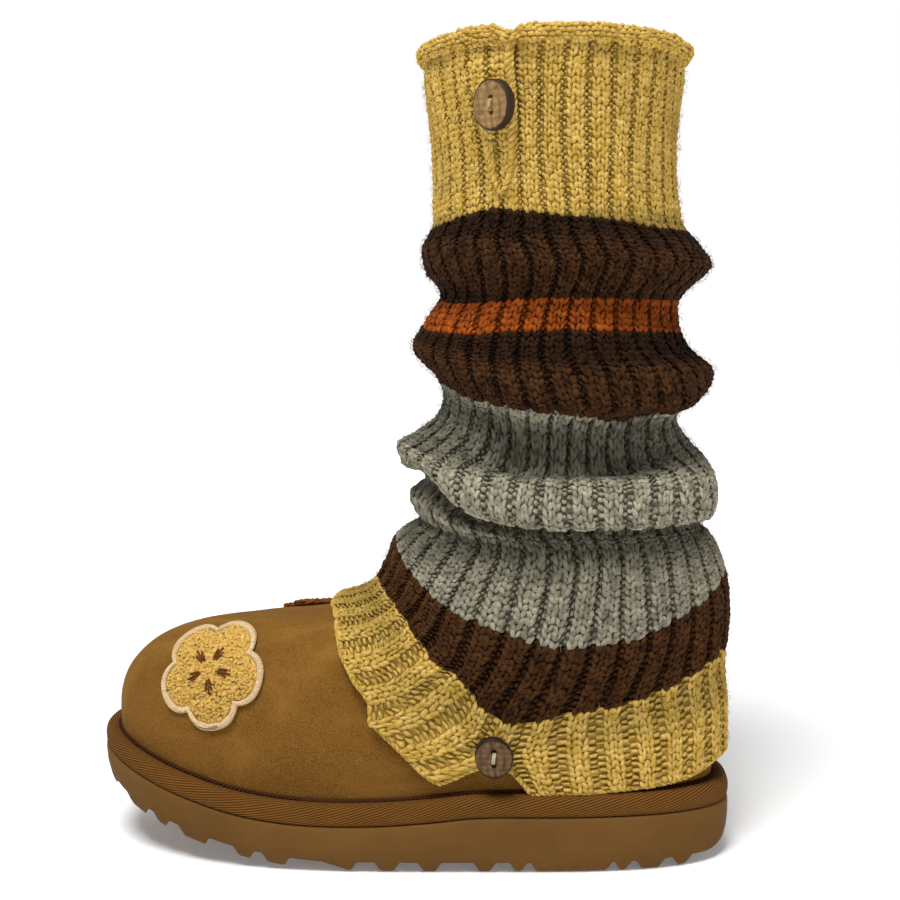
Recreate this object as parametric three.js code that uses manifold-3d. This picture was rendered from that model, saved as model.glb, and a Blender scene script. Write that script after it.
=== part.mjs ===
// Low sheepskin boot on a platform sole, with a slouched and buttoned knit shaft. A left shoe.
// Millimetres. +X is the toe, +Y the outer side, +Z up. The sole stands on the plane z = 0.
// An angle runs around the foot: 0 at the toe, a quarter turn at the outer side, a half turn at the heel.
import * as THREE from "three";
import { mergeVertices } from "three/addons/utils/BufferGeometryUtils.js";
import Module from "manifold-3d";

const wasm = await Module();
wasm.setup();

// Driving sizes
const GAP = 0.3;
const SEAT_GAP = 0.6;
const UPPER_WALL = 3;
const KNIT_WALL = 4;
const KNIT_GAP = 1;
const SHAFT_BASE = 22;
const COLUMNS = 36;
const WELT_COLUMNS = 60;
const DEGREE = Math.PI / 180;

// Outline of the sole, its narrow waist, and the swing of the toe to the inner side
const SOLE = { front: 146.5, back: -141, wide: 44, outer: 52, inner: 50 };
const ROUND = { toe: 2.5, heel: 2.8, collar: 2.15 };
const WAIST = { at: -38, span: 55, outer: 0.05, inner: 0.11 };
const SWING = { from: 20, to: 146.5, depth: 7 };
const OUTLINE_STEPS = 60;

// Side view of the sole: its top, and the curve that its lugs stand on
const SOLE_STATIONS = [
  { x: -141, top: 24.5, floor: 7.5 },
  { x: -137, top: 24.5, floor: 2.6 },
  { x: -129, top: 24.4, floor: 0 },
  { x: -60, top: 24.2, floor: 0 },
  { x: -30, top: 24, floor: 0 },
  { x: -8, top: 21.8, floor: 0 },
  { x: 12, top: 20.3, floor: 0 },
  { x: 36, top: 19.8, floor: 0 },
  { x: 56, top: 20.8, floor: 1.9 },
  { x: 77, top: 23.6, floor: 5.2 },
  { x: 98, top: 28.4, floor: 10.4 },
  { x: 115, top: 33.2, floor: 15.8 },
  { x: 128, top: 37.4, floor: 20.8 },
  { x: 139, top: 41.2, floor: 26.6 },
  { x: 146.5, top: 43.6, floor: 32 },
];
const TOP_STEP = 5;
const HEEL_ROUND = -129;
const BELOW_SOLE = -20;
const ABOVE_SOLE = 90;
const SLAB_HALF = 90;

// Lugs from toe to heel, and the grooves between them
const LUGS = [
  { front: 142.5, back: 136.5 },
  { front: 127.5, back: 118.5 },
  { front: 113, back: 108 },
  { front: 100.5, back: 89 },
  { front: 75, back: 68.5 },
  { front: 62, back: 53 },
  { front: 33, back: 24 },
  { front: 13, back: 5.5 },
  { front: -5.5, back: -12.5 },
  { front: -29.5, back: -36 },
  { front: -45, back: -49.5 },
  { front: -54, back: -86 },
  { front: -90, back: -94.5 },
  { front: -99.5, back: -109 },
  { front: -115.5, back: -121 },
];
const GROOVE = { depth: 4.2, slope: 1.8 };

// Rounded lower edge of the sole: how far in, and how far above the floor curve
const SOLE_EDGE = [
  { inset: 3.4, up: 0 },
  { inset: 1.5, up: 2.4 },
  { inset: 0.4, up: 6 },
  { inset: 0, up: 10 },
];

// Cross section of the welt: how far in from the sole's outline, and how far above the sole
const WELT_SECTION = [
  { inset: 0.5, up: 0 },
  { inset: 0.1, up: 2.6 },
  { inset: 0.1, up: 5.4 },
  { inset: 1, up: 7.6 },
  { inset: 2.8, up: 8.6 },
  { inset: 5, up: 8.7 },
  { inset: 7.1, up: 8.1 },
  { inset: 7.6, up: 0 },
];

// The last, as rings from the feather line to the collar. In plan, front, wide and back are x,
// and outer and inner are the half widths.
const LAST_PLAN = [
  { level: 0, front: 138, wide: 44, outer: 43.8, inner: 41.8, back: -132.6 },
  { level: 0.1, front: 139.6, wide: 42, outer: 44.2, inner: 42.2, back: -134 },
  { level: 0.2, front: 138.6, wide: 36, outer: 45.4, inner: 43.4, back: -136 },
  { level: 0.3, front: 133, wide: 27, outer: 45.8, inner: 43.8, back: -136 },
  { level: 0.4, front: 120.5, wide: 16, outer: 45.4, inner: 43.4, back: -134 },
  { level: 0.5, front: 101, wide: 2, outer: 45, inner: 43, back: -133 },
  { level: 0.6, front: 73, wide: -14, outer: 45, inner: 43.5, back: -133 },
  { level: 0.7, front: 41, wide: -32, outer: 46, inner: 45, back: -131 },
  { level: 0.8, front: 18.5, wide: -46, outer: 47.4, inner: 46.8, back: -128.4 },
  { level: 0.9, front: 2, wide: -56, outer: 48.8, inner: 48.4, back: -125.4 },
  { level: 1, front: -9, wide: -65, outer: 50, inner: 50, back: -122 },
];

// Heights of the same rings above the top of the sole
const LAST_HEIGHT = [
  { level: 0, front: 0, side: 0, back: 0 },
  { level: 0.1, front: 15, side: 12, back: 13 },
  { level: 0.2, front: 31, side: 22, back: 25 },
  { level: 0.3, front: 46, side: 32.5, back: 37 },
  { level: 0.4, front: 61, side: 43, back: 49 },
  { level: 0.5, front: 72.5, side: 54, back: 61 },
  { level: 0.6, front: 80, side: 66, back: 73 },
  { level: 0.7, front: 84, side: 78, back: 86 },
  { level: 0.8, front: 92.5, side: 91, back: 99 },
  { level: 0.9, front: 106, side: 104, back: 111 },
  { level: 1, front: 120, side: 116, back: 120 },
];
const UPPER_ROWS = 18;
const UPPER_INNER_ROWS = 8;
const INSOLE = { thick: 6, clear: 0.5 };

// Where the shaft's lower rows lie on the last: level at the toe side, at its lowest and at the heel.
// LowAt is where it is lowest, in degrees, and bend is how late it drops.
const COVER_ROWS = [
  { row: 0, front: 0.69, low: 0.077, lowAt: 104, back: 0.11, bend: 4.5 },
  { row: 1, front: 0.8, low: 0.39, lowAt: 112, back: 0.5, bend: 2.6 },
  { row: 2, front: 0.92, low: 0.65, lowAt: 112, back: 0.8, bend: 1.4 },
  { row: 3, front: 1, low: 1, lowAt: 112, back: 1, bend: 1 },
];

// How far the same rows stand off the last
const COVER_PUFF = [
  { row: 0, front: 0, side: 0, back: 0 },
  { row: 1, front: 0, side: 0, back: 1 },
  { row: 2, front: 9, side: 3, back: 6 },
  { row: 3, front: 5, side: 1.5, back: 2 },
];
const COVER_STEP = 0.5;
const COVER_TOP = 3;

// The hem's own line on the last, in degrees from the toe, and the slit under the lower button
const HEM = [
  { turn: 0, level: 0.715 },
  { turn: 26, level: 0.702 },
  { turn: 46, level: 0.662 },
  { turn: 62, level: 0.611 },
  { turn: 74, level: 0.557 },
  { turn: 86, level: 0.472 },
  { turn: 94, level: 0.31 },
  { turn: 102, level: 0.135 },
  { turn: 110, level: 0.082 },
  { turn: 122, level: 0.077 },
  { turn: 138, level: 0.092 },
  { turn: 150, level: 0.111 },
  { turn: 166, level: 0.165 },
  { turn: 180, level: 0.165 },
];
const SLIT = { at: 108.8, front: 7.3, back: 6.6, rise: 0.168 };

// Folds of the shaft above the collar: x and height at the front and back, half width and height at the sides
const FOLDS = [
  { front: -0.5, frontUp: 149, back: -127.5, backUp: 144.5, side: 55.5, sideUp: 144 },
  { front: 3.6, frontUp: 158.5, back: -127, backUp: 147, side: 56.5, sideUp: 148 },
  { front: 0, frontUp: 166.5, back: -129, backUp: 150.5, side: 59, sideUp: 151.5 },
  { front: 9, frontUp: 176, back: -133.7, backUp: 161, side: 66, sideUp: 161 },
  { front: 4, frontUp: 184.5, back: -130.5, backUp: 173, side: 63, sideUp: 172 },
  { front: -8.5, frontUp: 194, back: -119, backUp: 187, side: 55.5, sideUp: 182 },
  { front: -12.4, frontUp: 203, back: -116, backUp: 195, side: 54, sideUp: 193 },
  { front: -9, frontUp: 212, back: -129, backUp: 206, side: 59, sideUp: 205 },
  { front: 1.5, frontUp: 224, back: -131.5, backUp: 215, side: 62, sideUp: 215 },
  { front: 0.5, frontUp: 232, back: -124, backUp: 224, side: 59, sideUp: 224 },
  { front: -7, frontUp: 242, back: -116.5, backUp: 235, side: 55, sideUp: 236 },
  { front: -10.4, frontUp: 249, back: -116.5, backUp: 246, side: 54, sideUp: 247 },
  { front: -3.5, frontUp: 259, back: -130, backUp: 261, side: 61.5, sideUp: 261 },
  { front: -2, frontUp: 269, back: -125, backUp: 269, side: 60.5, sideUp: 269 },
  { front: -6.3, frontUp: 280.5, back: -117.4, backUp: 280.5, side: 55, sideUp: 280 },
  { front: -8, frontUp: 295, back: -114.5, backUp: 295, side: 54, sideUp: 295 },
  { front: -6.3, frontUp: 319.5, back: -114.5, backUp: 319.5, side: 55, sideUp: 319.5 },
  { front: -3, frontUp: 341.5, back: -116.5, backUp: 341.5, side: 57, sideUp: 341.5 },
  { front: -3.5, frontUp: 347, back: -116.5, backUp: 347, side: 57.5, sideUp: 347 },
  { front: -0.5, frontUp: 351, back: -119.3, backUp: 351, side: 61, sideUp: 351 },
  { front: -1, frontUp: 355, back: -118.6, backUp: 355, side: 60.2, sideUp: 355 },
  { front: -3.6, frontUp: 357, back: -116, backUp: 357, side: 57.6, sideUp: 357 },
];
const FOLD_ROUND = 2.1;
const KNIT_ROWS = 42;

// The buttoned overlap of the top band: the edge that lies on top, and the rows that it runs over
const FLAP = { edge: 73 * DEGREE, fade: 40 * DEGREE, rise: 2.4, from: 277, full: 292 };

// Wooden buttons
const BUTTON_HOLE = { radius: 1.1, spacing: 5.8 };
const BUTTONS = [
  { name: "button_top", radius: 10.2, thick: 4.4, angle: 66.5 * DEGREE, height: 323.5, color: 0xa5825a },
  { name: "button_hem", radius: 8.5, thick: 3.8, angle: 107.5 * DEGREE, height: 52, color: 0x694b2d },
];
const BUTTON_EDGE = 0.7;
const BUTTON_ARCS = 8;
const SEAT_HALVINGS = 30;

// Fleece patches: petals, corded edge, and each patch's centre on the last and radius
const PETAL = { count: 5, depth: 0.2, sharp: 1.5 };
const PATCH_EDGE = { width: 2.6, high: 1.7, shoulder: 1 };
const TOE_PATCH = { angle: 43 * DEGREE, level: 0.445, radius: 25, turn: 0.3, high: 3.4, rim: 1.6 };
const INSTEP_PATCH = { angle: -38 * DEGREE, level: 0.61, radius: 14.5, turn: 0.9, high: 3.2, rim: 2.2 };
const PATCH_STEPS = 36;
const PATCH_RINGS = 3;
const PATCH_PASSES = 6;

// Small helpers
const clamp = (value, low, high) => Math.min(high, Math.max(low, value));
const mix = (from, to, share) => from + (to - from) * share;
const signedPower = (value, exponent) => Math.sign(value) * Math.abs(value) ** exponent;

function smooth(from, to, value) {
  const share = clamp((value - from) / (to - from), 0, 1);
  return share * share * (3 - 2 * share);
}

// Smooth curve through one column of a table, read at a value of its key column
function readColumn(table, key, column, at) {
  const last = table.length - 1;
  const place = clamp(at, table[0][key], table[last][key]);
  let row = 0;
  while (row < last - 1 && table[row + 1][key] < place) row += 1;
  const slope = (index) => {
    const before = table[Math.max(index - 1, 0)];
    const after = table[Math.min(index + 1, last)];
    return (after[column] - before[column]) / (after[key] - before[key]);
  };
  const span = table[row + 1][key] - table[row][key];
  const share = (place - table[row][key]) / span;
  const rest = 1 - share;
  const ends = table[row][column] * rest * rest * (1 + 2 * share)
    + table[row + 1][column] * share * share * (3 - 2 * share);
  return ends + span * share * rest * (slope(row) * rest - slope(row + 1) * share);
}

function readRow(table, key, at) {
  const columns = Object.keys(table[0]);
  return Object.fromEntries(columns.map((column) => [column, readColumn(table, key, column, at)]));
}

// A value given at the front, the sides and the back, at an angle between them
function aroundFoot(row, angle) {
  const forward = Math.cos(angle);
  return mix(row.side, forward > 0 ? row.front : row.back, forward * forward);
}

const soleTop = (x) => readColumn(SOLE_STATIONS, "x", "top", x);
const soleFloor = (x) => Math.max(0, readColumn(SOLE_STATIONS, "x", "floor", x));

// Closed outline in plan from its five sizes, with the waist and the toe's swing as far as bend says
function planPoint(size, angle, collarShare, bend) {
  const forward = Math.cos(angle);
  const sideways = Math.sin(angle);
  const round = 2 / mix(forward > 0 ? ROUND.toe : ROUND.heel, ROUND.collar, collarShare);
  const reach = forward > 0 ? size.front - size.wide : size.wide - size.back;
  const x = size.wide + reach * signedPower(forward, round);
  const half = (sideways > 0 ? size.outer : size.inner) * signedPower(sideways, round);
  const waist = (sideways > 0 ? WAIST.outer : WAIST.inner) * Math.exp(-(((x - WAIST.at) / WAIST.span) ** 2));
  const swing = SWING.depth * clamp((x - SWING.from) / (SWING.to - SWING.from), 0, 1) ** 2;
  return { x, y: half * (1 - waist * bend) - swing * bend };
}

function outlinePoint(angle, inset) {
  const size = {
    front: SOLE.front - inset,
    back: SOLE.back + inset,
    wide: SOLE.wide,
    outer: SOLE.outer - inset,
    inner: SOLE.inner - inset,
  };
  return planPoint(size, angle, 0, 1);
}

// Outer surface of the upper at an angle and a level
function lastPoint(angle, level) {
  const { x, y } = planPoint(readRow(LAST_PLAN, "level", level), angle, level, 1 - level);
  const up = aroundFoot(readRow(LAST_HEIGHT, "level", level), angle);
  return new THREE.Vector3(x, y, mix(soleTop(x) + SEAT_GAP, SHAFT_BASE, level) + up);
}

function lastNormal(angle, level) {
  const step = 0.01;
  const low = clamp(level - step, 0, 1);
  const high = clamp(level + step, 0, 1);
  const around = lastPoint(angle + step, level).sub(lastPoint(angle - step, level));
  const upward = lastPoint(angle, high).sub(lastPoint(angle, low));
  return around.cross(upward).normalize();
}

const lastOffset = (angle, level, offset) =>
  lastPoint(angle, level).addScaledVector(lastNormal(angle, level), offset);

// Geometry builders
function meshGeometry(points, triangles) {
  const geometry = new THREE.BufferGeometry();
  const positions = points.flatMap((point) => [point.x, point.y, point.z]);
  geometry.setAttribute("position", new THREE.Float32BufferAttribute(positions, 3));
  geometry.setIndex(triangles);
  return geometry;
}

// Closed ring: one closed section for each column, joined to the next and back to the first
function ringGeometry(sections) {
  const count = sections[0].length;
  const triangles = [];
  sections.forEach((section, column) => {
    const next = (column + 1) % sections.length;
    for (let place = 0; place < count; place += 1) {
      const above = (place + 1) % count;
      const here = column * count;
      const there = next * count;
      triangles.push(here + place, there + place, there + above);
      triangles.push(here + place, there + above, here + above);
    }
  });
  return meshGeometry(sections.flat(), triangles);
}

// Closed stack of rings, from the bottom up, with a fan of triangles over each end
function stackGeometry(rings, bottom, top) {
  const count = rings[0].length;
  const points = [...rings.flat(), bottom, top];
  const bottomIndex = points.length - 2;
  const topIndex = points.length - 1;
  const lastRing = (rings.length - 1) * count;
  const triangles = [];
  for (let place = 0; place < count; place += 1) {
    const next = (place + 1) % count;
    triangles.push(bottomIndex, next, place, topIndex, lastRing + place, lastRing + next);
    for (let ring = 0; ring < rings.length - 1; ring += 1) {
      const low = ring * count;
      const high = low + count;
      triangles.push(low + place, low + next, high + next, low + place, high + next, high + place);
    }
  }
  return meshGeometry(points, triangles);
}

function toSolid(geometry) {
  const plain = geometry.clone();
  plain.deleteAttribute("normal");
  plain.deleteAttribute("uv");
  const merged = mergeVertices(plain, 1e-4);
  const vertProperties = new Float32Array(merged.attributes.position.array);
  const triVerts = new Uint32Array(merged.index.array);
  return new wasm.Manifold(new wasm.Mesh({ numProp: 3, vertProperties, triVerts }));
}

function toGeometry(solid) {
  const mesh = solid.getMesh();
  const geometry = new THREE.BufferGeometry();
  geometry.setAttribute("position", new THREE.BufferAttribute(new Float32Array(mesh.vertProperties), 3));
  geometry.setIndex(new THREE.BufferAttribute(new Uint32Array(mesh.triVerts), 1));
  return geometry;
}

const turnSteps = (count) => Array.from({ length: count }, (_, step) => (step / count) * 2 * Math.PI);
const rowSteps = (count) => Array.from({ length: count }, (_, step) => step / (count - 1));

// A slab whose side view is given, cut to a stack of outlines
function cutSlab(profile, rings) {
  const shape = new THREE.Shape(profile.map((point) => new THREE.Vector2(point.x, point.z)));
  const slab = new THREE.ExtrudeGeometry(shape, { depth: 2 * SLAB_HALF, bevelEnabled: false });
  slab.rotateX(Math.PI / 2);
  slab.translate(0, SLAB_HALF, 0);
  const low = rings[0][0].z;
  const high = rings[rings.length - 1][0].z;
  const prism = stackGeometry(rings, new THREE.Vector3(0, 0, low), new THREE.Vector3(0, 0, high));
  return toGeometry(toSolid(slab).intersect(toSolid(prism)));
}

function outlineRing(inset, heightAt) {
  return turnSteps(OUTLINE_STEPS).map((angle) => {
    const { x, y } = outlinePoint(angle, inset);
    return new THREE.Vector3(x, y, heightAt(x));
  });
}

function topLine(up) {
  const line = [];
  for (let x = SOLE.back - TOP_STEP; x <= SOLE.front + TOP_STEP; x += TOP_STEP) {
    line.push({ x, z: soleTop(x) + up });
  }
  return line;
}

// Sole: the top line back from the toe, then each lug and groove along the floor
function outsoleGeometry() {
  const floorLine = [{ x: SOLE.front + TOP_STEP, z: soleFloor(SOLE.front) }];
  LUGS.forEach((lug, index) => {
    floorLine.push({ x: lug.front, z: soleFloor(lug.front) });
    const middle = (lug.front + lug.back) / 2;
    floorLine.push({ x: middle, z: soleFloor(middle) });
    floorLine.push({ x: lug.back, z: soleFloor(lug.back) });
    const next = LUGS[index + 1];
    if (next) {
      for (const x of [lug.back - GROOVE.slope, next.front + GROOVE.slope]) {
        floorLine.push({ x, z: soleFloor(x) + GROOVE.depth });
      }
    }
  });
  for (const x of [HEEL_ROUND, (HEEL_ROUND + SOLE.back) / 2, SOLE.back]) {
    floorLine.push({ x, z: soleFloor(x) });
  }
  floorLine.push({ x: SOLE.back - TOP_STEP, z: soleFloor(SOLE.back) });
  const rings = [
    outlineRing(SOLE_EDGE[0].inset, () => BELOW_SOLE),
    ...SOLE_EDGE.map((edge) => outlineRing(edge.inset, (x) => soleFloor(x) + edge.up)),
    outlineRing(0, () => ABOVE_SOLE),
  ];
  return cutSlab([...topLine(0), ...floorLine], rings);
}

function insoleGeometry() {
  const under = topLine(GAP);
  const over = topLine(GAP + INSOLE.thick).reverse();
  const ring = (height) => turnSteps(COLUMNS).map((angle) => {
    const point = lastOffset(angle, 0, -UPPER_WALL - INSOLE.clear);
    return point.setZ(height);
  });
  return cutSlab([...under, ...over].reverse(), [ring(BELOW_SOLE), ring(ABOVE_SOLE)]);
}

function weltGeometry() {
  const sections = turnSteps(WELT_COLUMNS).map((angle) =>
    WELT_SECTION.map((place) => {
      const { x, y } = outlinePoint(angle, place.inset);
      return new THREE.Vector3(x, y, soleTop(x) + SEAT_GAP + place.up);
    }));
  return ringGeometry(sections);
}

// Hollow upper: its outer wall up to the collar, then its inner wall down again
function upperGeometry() {
  const sections = turnSteps(COLUMNS).map((angle) => {
    const outer = rowSteps(UPPER_ROWS).map((level) => lastPoint(angle, level));
    const inner = rowSteps(UPPER_INNER_ROWS).reverse().map((level) => {
      const point = lastOffset(angle, level, -UPPER_WALL);
      if (level === 0) point.z = soleTop(point.x) + SEAT_GAP;
      return point;
    });
    return [...outer, ...inner];
  });
  return ringGeometry(sections);
}

// How far the slit opens the hem upwards, at degrees from the toe
function slitRise(degrees) {
  const half = degrees < SLIT.at ? SLIT.front : SLIT.back;
  return SLIT.rise * Math.max(0, 1 - Math.abs(degrees - SLIT.at) / half);
}

// Outer surface of the shaft where it covers the boot
function coverPoint(angle, row, wall) {
  const turn = Math.acos(clamp(Math.cos(angle), -1, 1));
  const levelAt = (at) => {
    const place = readRow(COVER_ROWS, "row", at);
    const lowAngle = place.lowAt * DEGREE;
    const dropped = Math.min(turn / lowAngle, 1) ** place.bend;
    return mix(mix(place.front, place.low, dropped), place.back, smooth(lowAngle, Math.PI, turn));
  };
  let level = levelAt(row);
  if (row < 1) {
    const hem = readColumn(HEM, "turn", "level", turn / DEGREE);
    const slit = Math.sin(angle) > 0 ? slitRise(turn / DEGREE) : 0;
    level += (1 - row) * (hem + slit - levelAt(0));
  }
  const puff = aroundFoot(readRow(COVER_PUFF, "row", row), angle);
  return lastOffset(angle, clamp(level, 0, 1), KNIT_GAP + wall + puff);
}

// Outer surface of the shaft at one fold
function foldPoint(fold, angle) {
  const forward = Math.cos(angle);
  const round = 2 / FOLD_ROUND;
  const middle = (fold.front + fold.back) / 2;
  const up = mix(fold.sideUp, forward > 0 ? fold.frontUp : fold.backUp, forward * forward);
  const past = FLAP.edge - angle;
  const lies = past >= 0 ? 1 - smooth(0, FLAP.fade, past) : 0;
  const rise = FLAP.rise * lies * smooth(FLAP.from, FLAP.full, up);
  const x = middle + ((fold.front - fold.back) / 2 + rise) * signedPower(forward, round);
  return new THREE.Vector3(x, (fold.side + rise) * signedPower(Math.sin(angle), round), up);
}

function knitCurve(angle) {
  const points = [];
  for (let row = 0; row <= COVER_TOP; row += COVER_STEP) points.push(coverPoint(angle, row, KNIT_WALL));
  for (const fold of FOLDS) points.push(foldPoint(fold, angle));
  return new THREE.CatmullRomCurve3(points, false, "centripetal");
}

function knitNormal(angle, share) {
  const turn = 0.02;
  const step = 0.004;
  const along = knitCurve(angle);
  const upward = along.getPoint(Math.min(share + step, 1)).sub(along.getPoint(Math.max(share - step, 0)));
  const around = knitCurve(angle + turn).getPoint(share).sub(knitCurve(angle - turn).getPoint(share));
  return around.cross(upward).normalize();
}

// Inner wall: all rows where the shaft lies on the boot, and every other row above it
function knitInner(angle, curve, share) {
  const row = share * (COVER_TOP / COVER_STEP + FOLDS.length) * COVER_STEP;
  if (row < COVER_TOP) return coverPoint(angle, row, 0);
  const level = new THREE.Vector3(Math.cos(angle), Math.sin(angle), 0);
  const normal = share === 1 ? level : knitNormal(angle, share);
  return curve.getPoint(share).addScaledVector(normal, -KNIT_WALL);
}

function knitGeometry() {
  const shares = rowSteps(KNIT_ROWS + 1);
  const coverRows = Math.ceil((KNIT_ROWS * COVER_TOP) / COVER_STEP / (COVER_TOP / COVER_STEP + FOLDS.length));
  const innerShares = shares.filter((_, row) => row <= coverRows || (KNIT_ROWS - row) % 2 === 0).reverse();
  const sections = turnSteps(COLUMNS).map((angle) => {
    const curve = knitCurve(angle);
    const outer = shares.map((share) => curve.getPoint(share));
    return [...outer, ...innerShares.map((share) => knitInner(angle, curve, share))];
  });
  return ringGeometry(sections);
}

// Where the shaft's outer surface reaches a height at an angle
function knitSeat(angle, height) {
  const curve = knitCurve(angle);
  let low = 0;
  let high = 1;
  for (let halving = 0; halving < SEAT_HALVINGS; halving += 1) {
    const share = (low + high) / 2;
    if (curve.getPoint(share).z < height) low = share;
    else high = share;
  }
  return { point: curve.getPoint(low), normal: knitNormal(angle, low) };
}

// A button with two holes, lying on the shaft with its holes one above the other
function buttonMesh(button) {
  const face = new THREE.Shape();
  face.absarc(0, 0, button.radius - BUTTON_EDGE, 0, 2 * Math.PI);
  for (const side of [-0.5, 0.5]) {
    const hole = new THREE.Path();
    hole.absarc(0, side * BUTTON_HOLE.spacing, BUTTON_HOLE.radius, 0, 2 * Math.PI, true);
    face.holes.push(hole);
  }
  const geometry = new THREE.ExtrudeGeometry(face, {
    depth: button.thick - 2 * BUTTON_EDGE,
    bevelSize: BUTTON_EDGE,
    bevelThickness: BUTTON_EDGE,
    bevelSegments: 1,
    curveSegments: BUTTON_ARCS,
  });
  const seat = knitSeat(button.angle, button.height);
  const mesh = new THREE.Mesh(geometry, material(button.color, 0.6));
  mesh.name = button.name;
  const side = new THREE.Vector3().crossVectors(new THREE.Vector3(0, 0, 1), seat.normal).normalize();
  const up = new THREE.Vector3().crossVectors(seat.normal, side);
  mesh.quaternion.setFromRotationMatrix(new THREE.Matrix4().makeBasis(side, up, seat.normal));
  mesh.position.copy(seat.point).addScaledVector(seat.normal, GAP + BUTTON_EDGE);
  return mesh;
}

// Tangent axes of a patch at its centre: one around the foot and one up it
function patchAxes(patch) {
  const step = 0.01;
  const centre = lastPoint(patch.angle, patch.level);
  const normal = lastNormal(patch.angle, patch.level);
  const around = lastPoint(patch.angle + step, patch.level).sub(centre);
  around.addScaledVector(normal, -around.dot(normal)).normalize();
  return { centre, around, upward: new THREE.Vector3().crossVectors(normal, around) };
}

// A point of a patch, at a radius in its flat plan and a height above the suede, laid on the last
function patchPoint(patch, turn, radius, height) {
  const step = 0.005;
  const axes = patchAxes(patch);
  const goal = [radius * Math.cos(turn), radius * Math.sin(turn)];
  const flat = (angle, level) => {
    const from = lastPoint(angle, level).sub(axes.centre);
    return [from.dot(axes.around), from.dot(axes.upward)];
  };
  let { angle, level } = patch;
  for (let pass = 0; pass < PATCH_PASSES; pass += 1) {
    const here = flat(angle, level);
    const turned = flat(angle + step, level);
    const raised = flat(angle, level + step);
    const perAngle = [(turned[0] - here[0]) / step, (turned[1] - here[1]) / step];
    const perLevel = [(raised[0] - here[0]) / step, (raised[1] - here[1]) / step];
    const short = [goal[0] - here[0], goal[1] - here[1]];
    const area = perAngle[0] * perLevel[1] - perAngle[1] * perLevel[0];
    angle += (short[0] * perLevel[1] - short[1] * perLevel[0]) / area;
    level += (perAngle[0] * short[1] - perAngle[1] * short[0]) / area;
  }
  return lastOffset(angle, level, SEAT_GAP + height);
}

// Round petals that meet in notches
function patchRadius(patch, turn) {
  const notch = 1 - Math.abs(Math.cos((PETAL.count / 2) * (turn - patch.turn)));
  return patch.radius * (1 - PETAL.depth * notch ** PETAL.sharp);
}

// Domed fleece: rings out to its rim over the suede, then back in under it
function patchGeometry(patch, inset) {
  const turns = turnSteps(PATCH_STEPS);
  const ring = (share, height) =>
    turns.map((turn) => patchPoint(patch, turn, (patchRadius(patch, turn) - inset) * share, height));
  const shares = Array.from({ length: PATCH_RINGS }, (_, step) => (step + 1) / PATCH_RINGS);
  const under = shares.map((share) => ring(share, 0));
  const over = [...shares].reverse().map((share) => ring(share, mix(patch.high, patch.rim, share * share)));
  const centre = (height) => patchPoint(patch, 0, 0, height);
  return stackGeometry([...under, ...over], centre(0), centre(patch.high));
}

function patchEdgeGeometry(patch) {
  const sections = turnSteps(PATCH_STEPS).map((turn) => {
    const outside = patchRadius(patch, turn);
    const inside = outside - PATCH_EDGE.width;
    const middle = (outside + inside) / 2;
    return [
      patchPoint(patch, turn, outside, 0),
      patchPoint(patch, turn, outside, PATCH_EDGE.shoulder),
      patchPoint(patch, turn, middle, PATCH_EDGE.high),
      patchPoint(patch, turn, inside, PATCH_EDGE.shoulder),
      patchPoint(patch, turn, inside, 0),
    ];
  });
  return ringGeometry(sections);
}

function material(color, roughness) {
  return new THREE.MeshStandardMaterial({ color, roughness, metalness: 0 });
}

function piece(name, geometry, color, roughness) {
  const mesh = new THREE.Mesh(geometry, material(color, roughness));
  mesh.name = name;
  return mesh;
}

const boot = new THREE.Group();
boot.position.x = -(SOLE.front + SOLE.back) / 2;
boot.add(piece("outsole", outsoleGeometry(), 0x735028, 0.8));
boot.add(piece("welt", weltGeometry(), 0x875828, 0.85));
boot.add(piece("upper", upperGeometry(), 0x96662f, 0.95));
boot.add(piece("insole", insoleGeometry(), 0xc9a877, 1));
boot.add(piece("knit_shaft", knitGeometry(), 0xcdaa55, 1));
for (const button of BUTTONS) boot.add(buttonMesh(button));
boot.add(piece("toe_patch", patchGeometry(TOE_PATCH, PATCH_EDGE.width + GAP), 0xc8a050, 1));
boot.add(piece("toe_patch_edge", patchEdgeGeometry(TOE_PATCH), 0xebcd96, 0.7));
boot.add(piece("instep_patch", patchGeometry(INSTEP_PATCH, 0), 0x6e4220, 1));

export default boot;
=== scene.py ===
"""Looks of a low sheepskin boot with a slouched knit shaft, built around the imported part.

Tables are in millimetres in the part's source frame: +X to the toe, +Y to the outer side, +Z up.
Meshes are written in metres in the row frame.
"""

import bpy
import numpy as np
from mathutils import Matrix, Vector


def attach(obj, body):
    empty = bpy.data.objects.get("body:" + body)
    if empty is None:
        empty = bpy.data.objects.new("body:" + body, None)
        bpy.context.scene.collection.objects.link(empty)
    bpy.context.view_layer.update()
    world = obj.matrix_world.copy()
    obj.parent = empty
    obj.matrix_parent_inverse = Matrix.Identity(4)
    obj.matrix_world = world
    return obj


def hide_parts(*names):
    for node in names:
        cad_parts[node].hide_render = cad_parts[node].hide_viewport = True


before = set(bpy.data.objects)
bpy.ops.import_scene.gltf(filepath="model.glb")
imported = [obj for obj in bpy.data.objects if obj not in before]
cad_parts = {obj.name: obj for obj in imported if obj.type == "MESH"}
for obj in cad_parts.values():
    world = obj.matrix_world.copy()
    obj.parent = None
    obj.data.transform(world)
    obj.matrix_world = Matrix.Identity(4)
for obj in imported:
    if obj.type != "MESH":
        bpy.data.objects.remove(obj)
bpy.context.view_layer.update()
rng = np.random.default_rng(11)

MM = 0.001
SHIFT_X = -2.75
TURN = 2 * np.pi
DEGREE = np.pi / 180


def columns(names, rows):
    """A table with named columns, from its rows."""
    return dict(zip(names.split(), np.array(rows, float).T))


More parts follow.
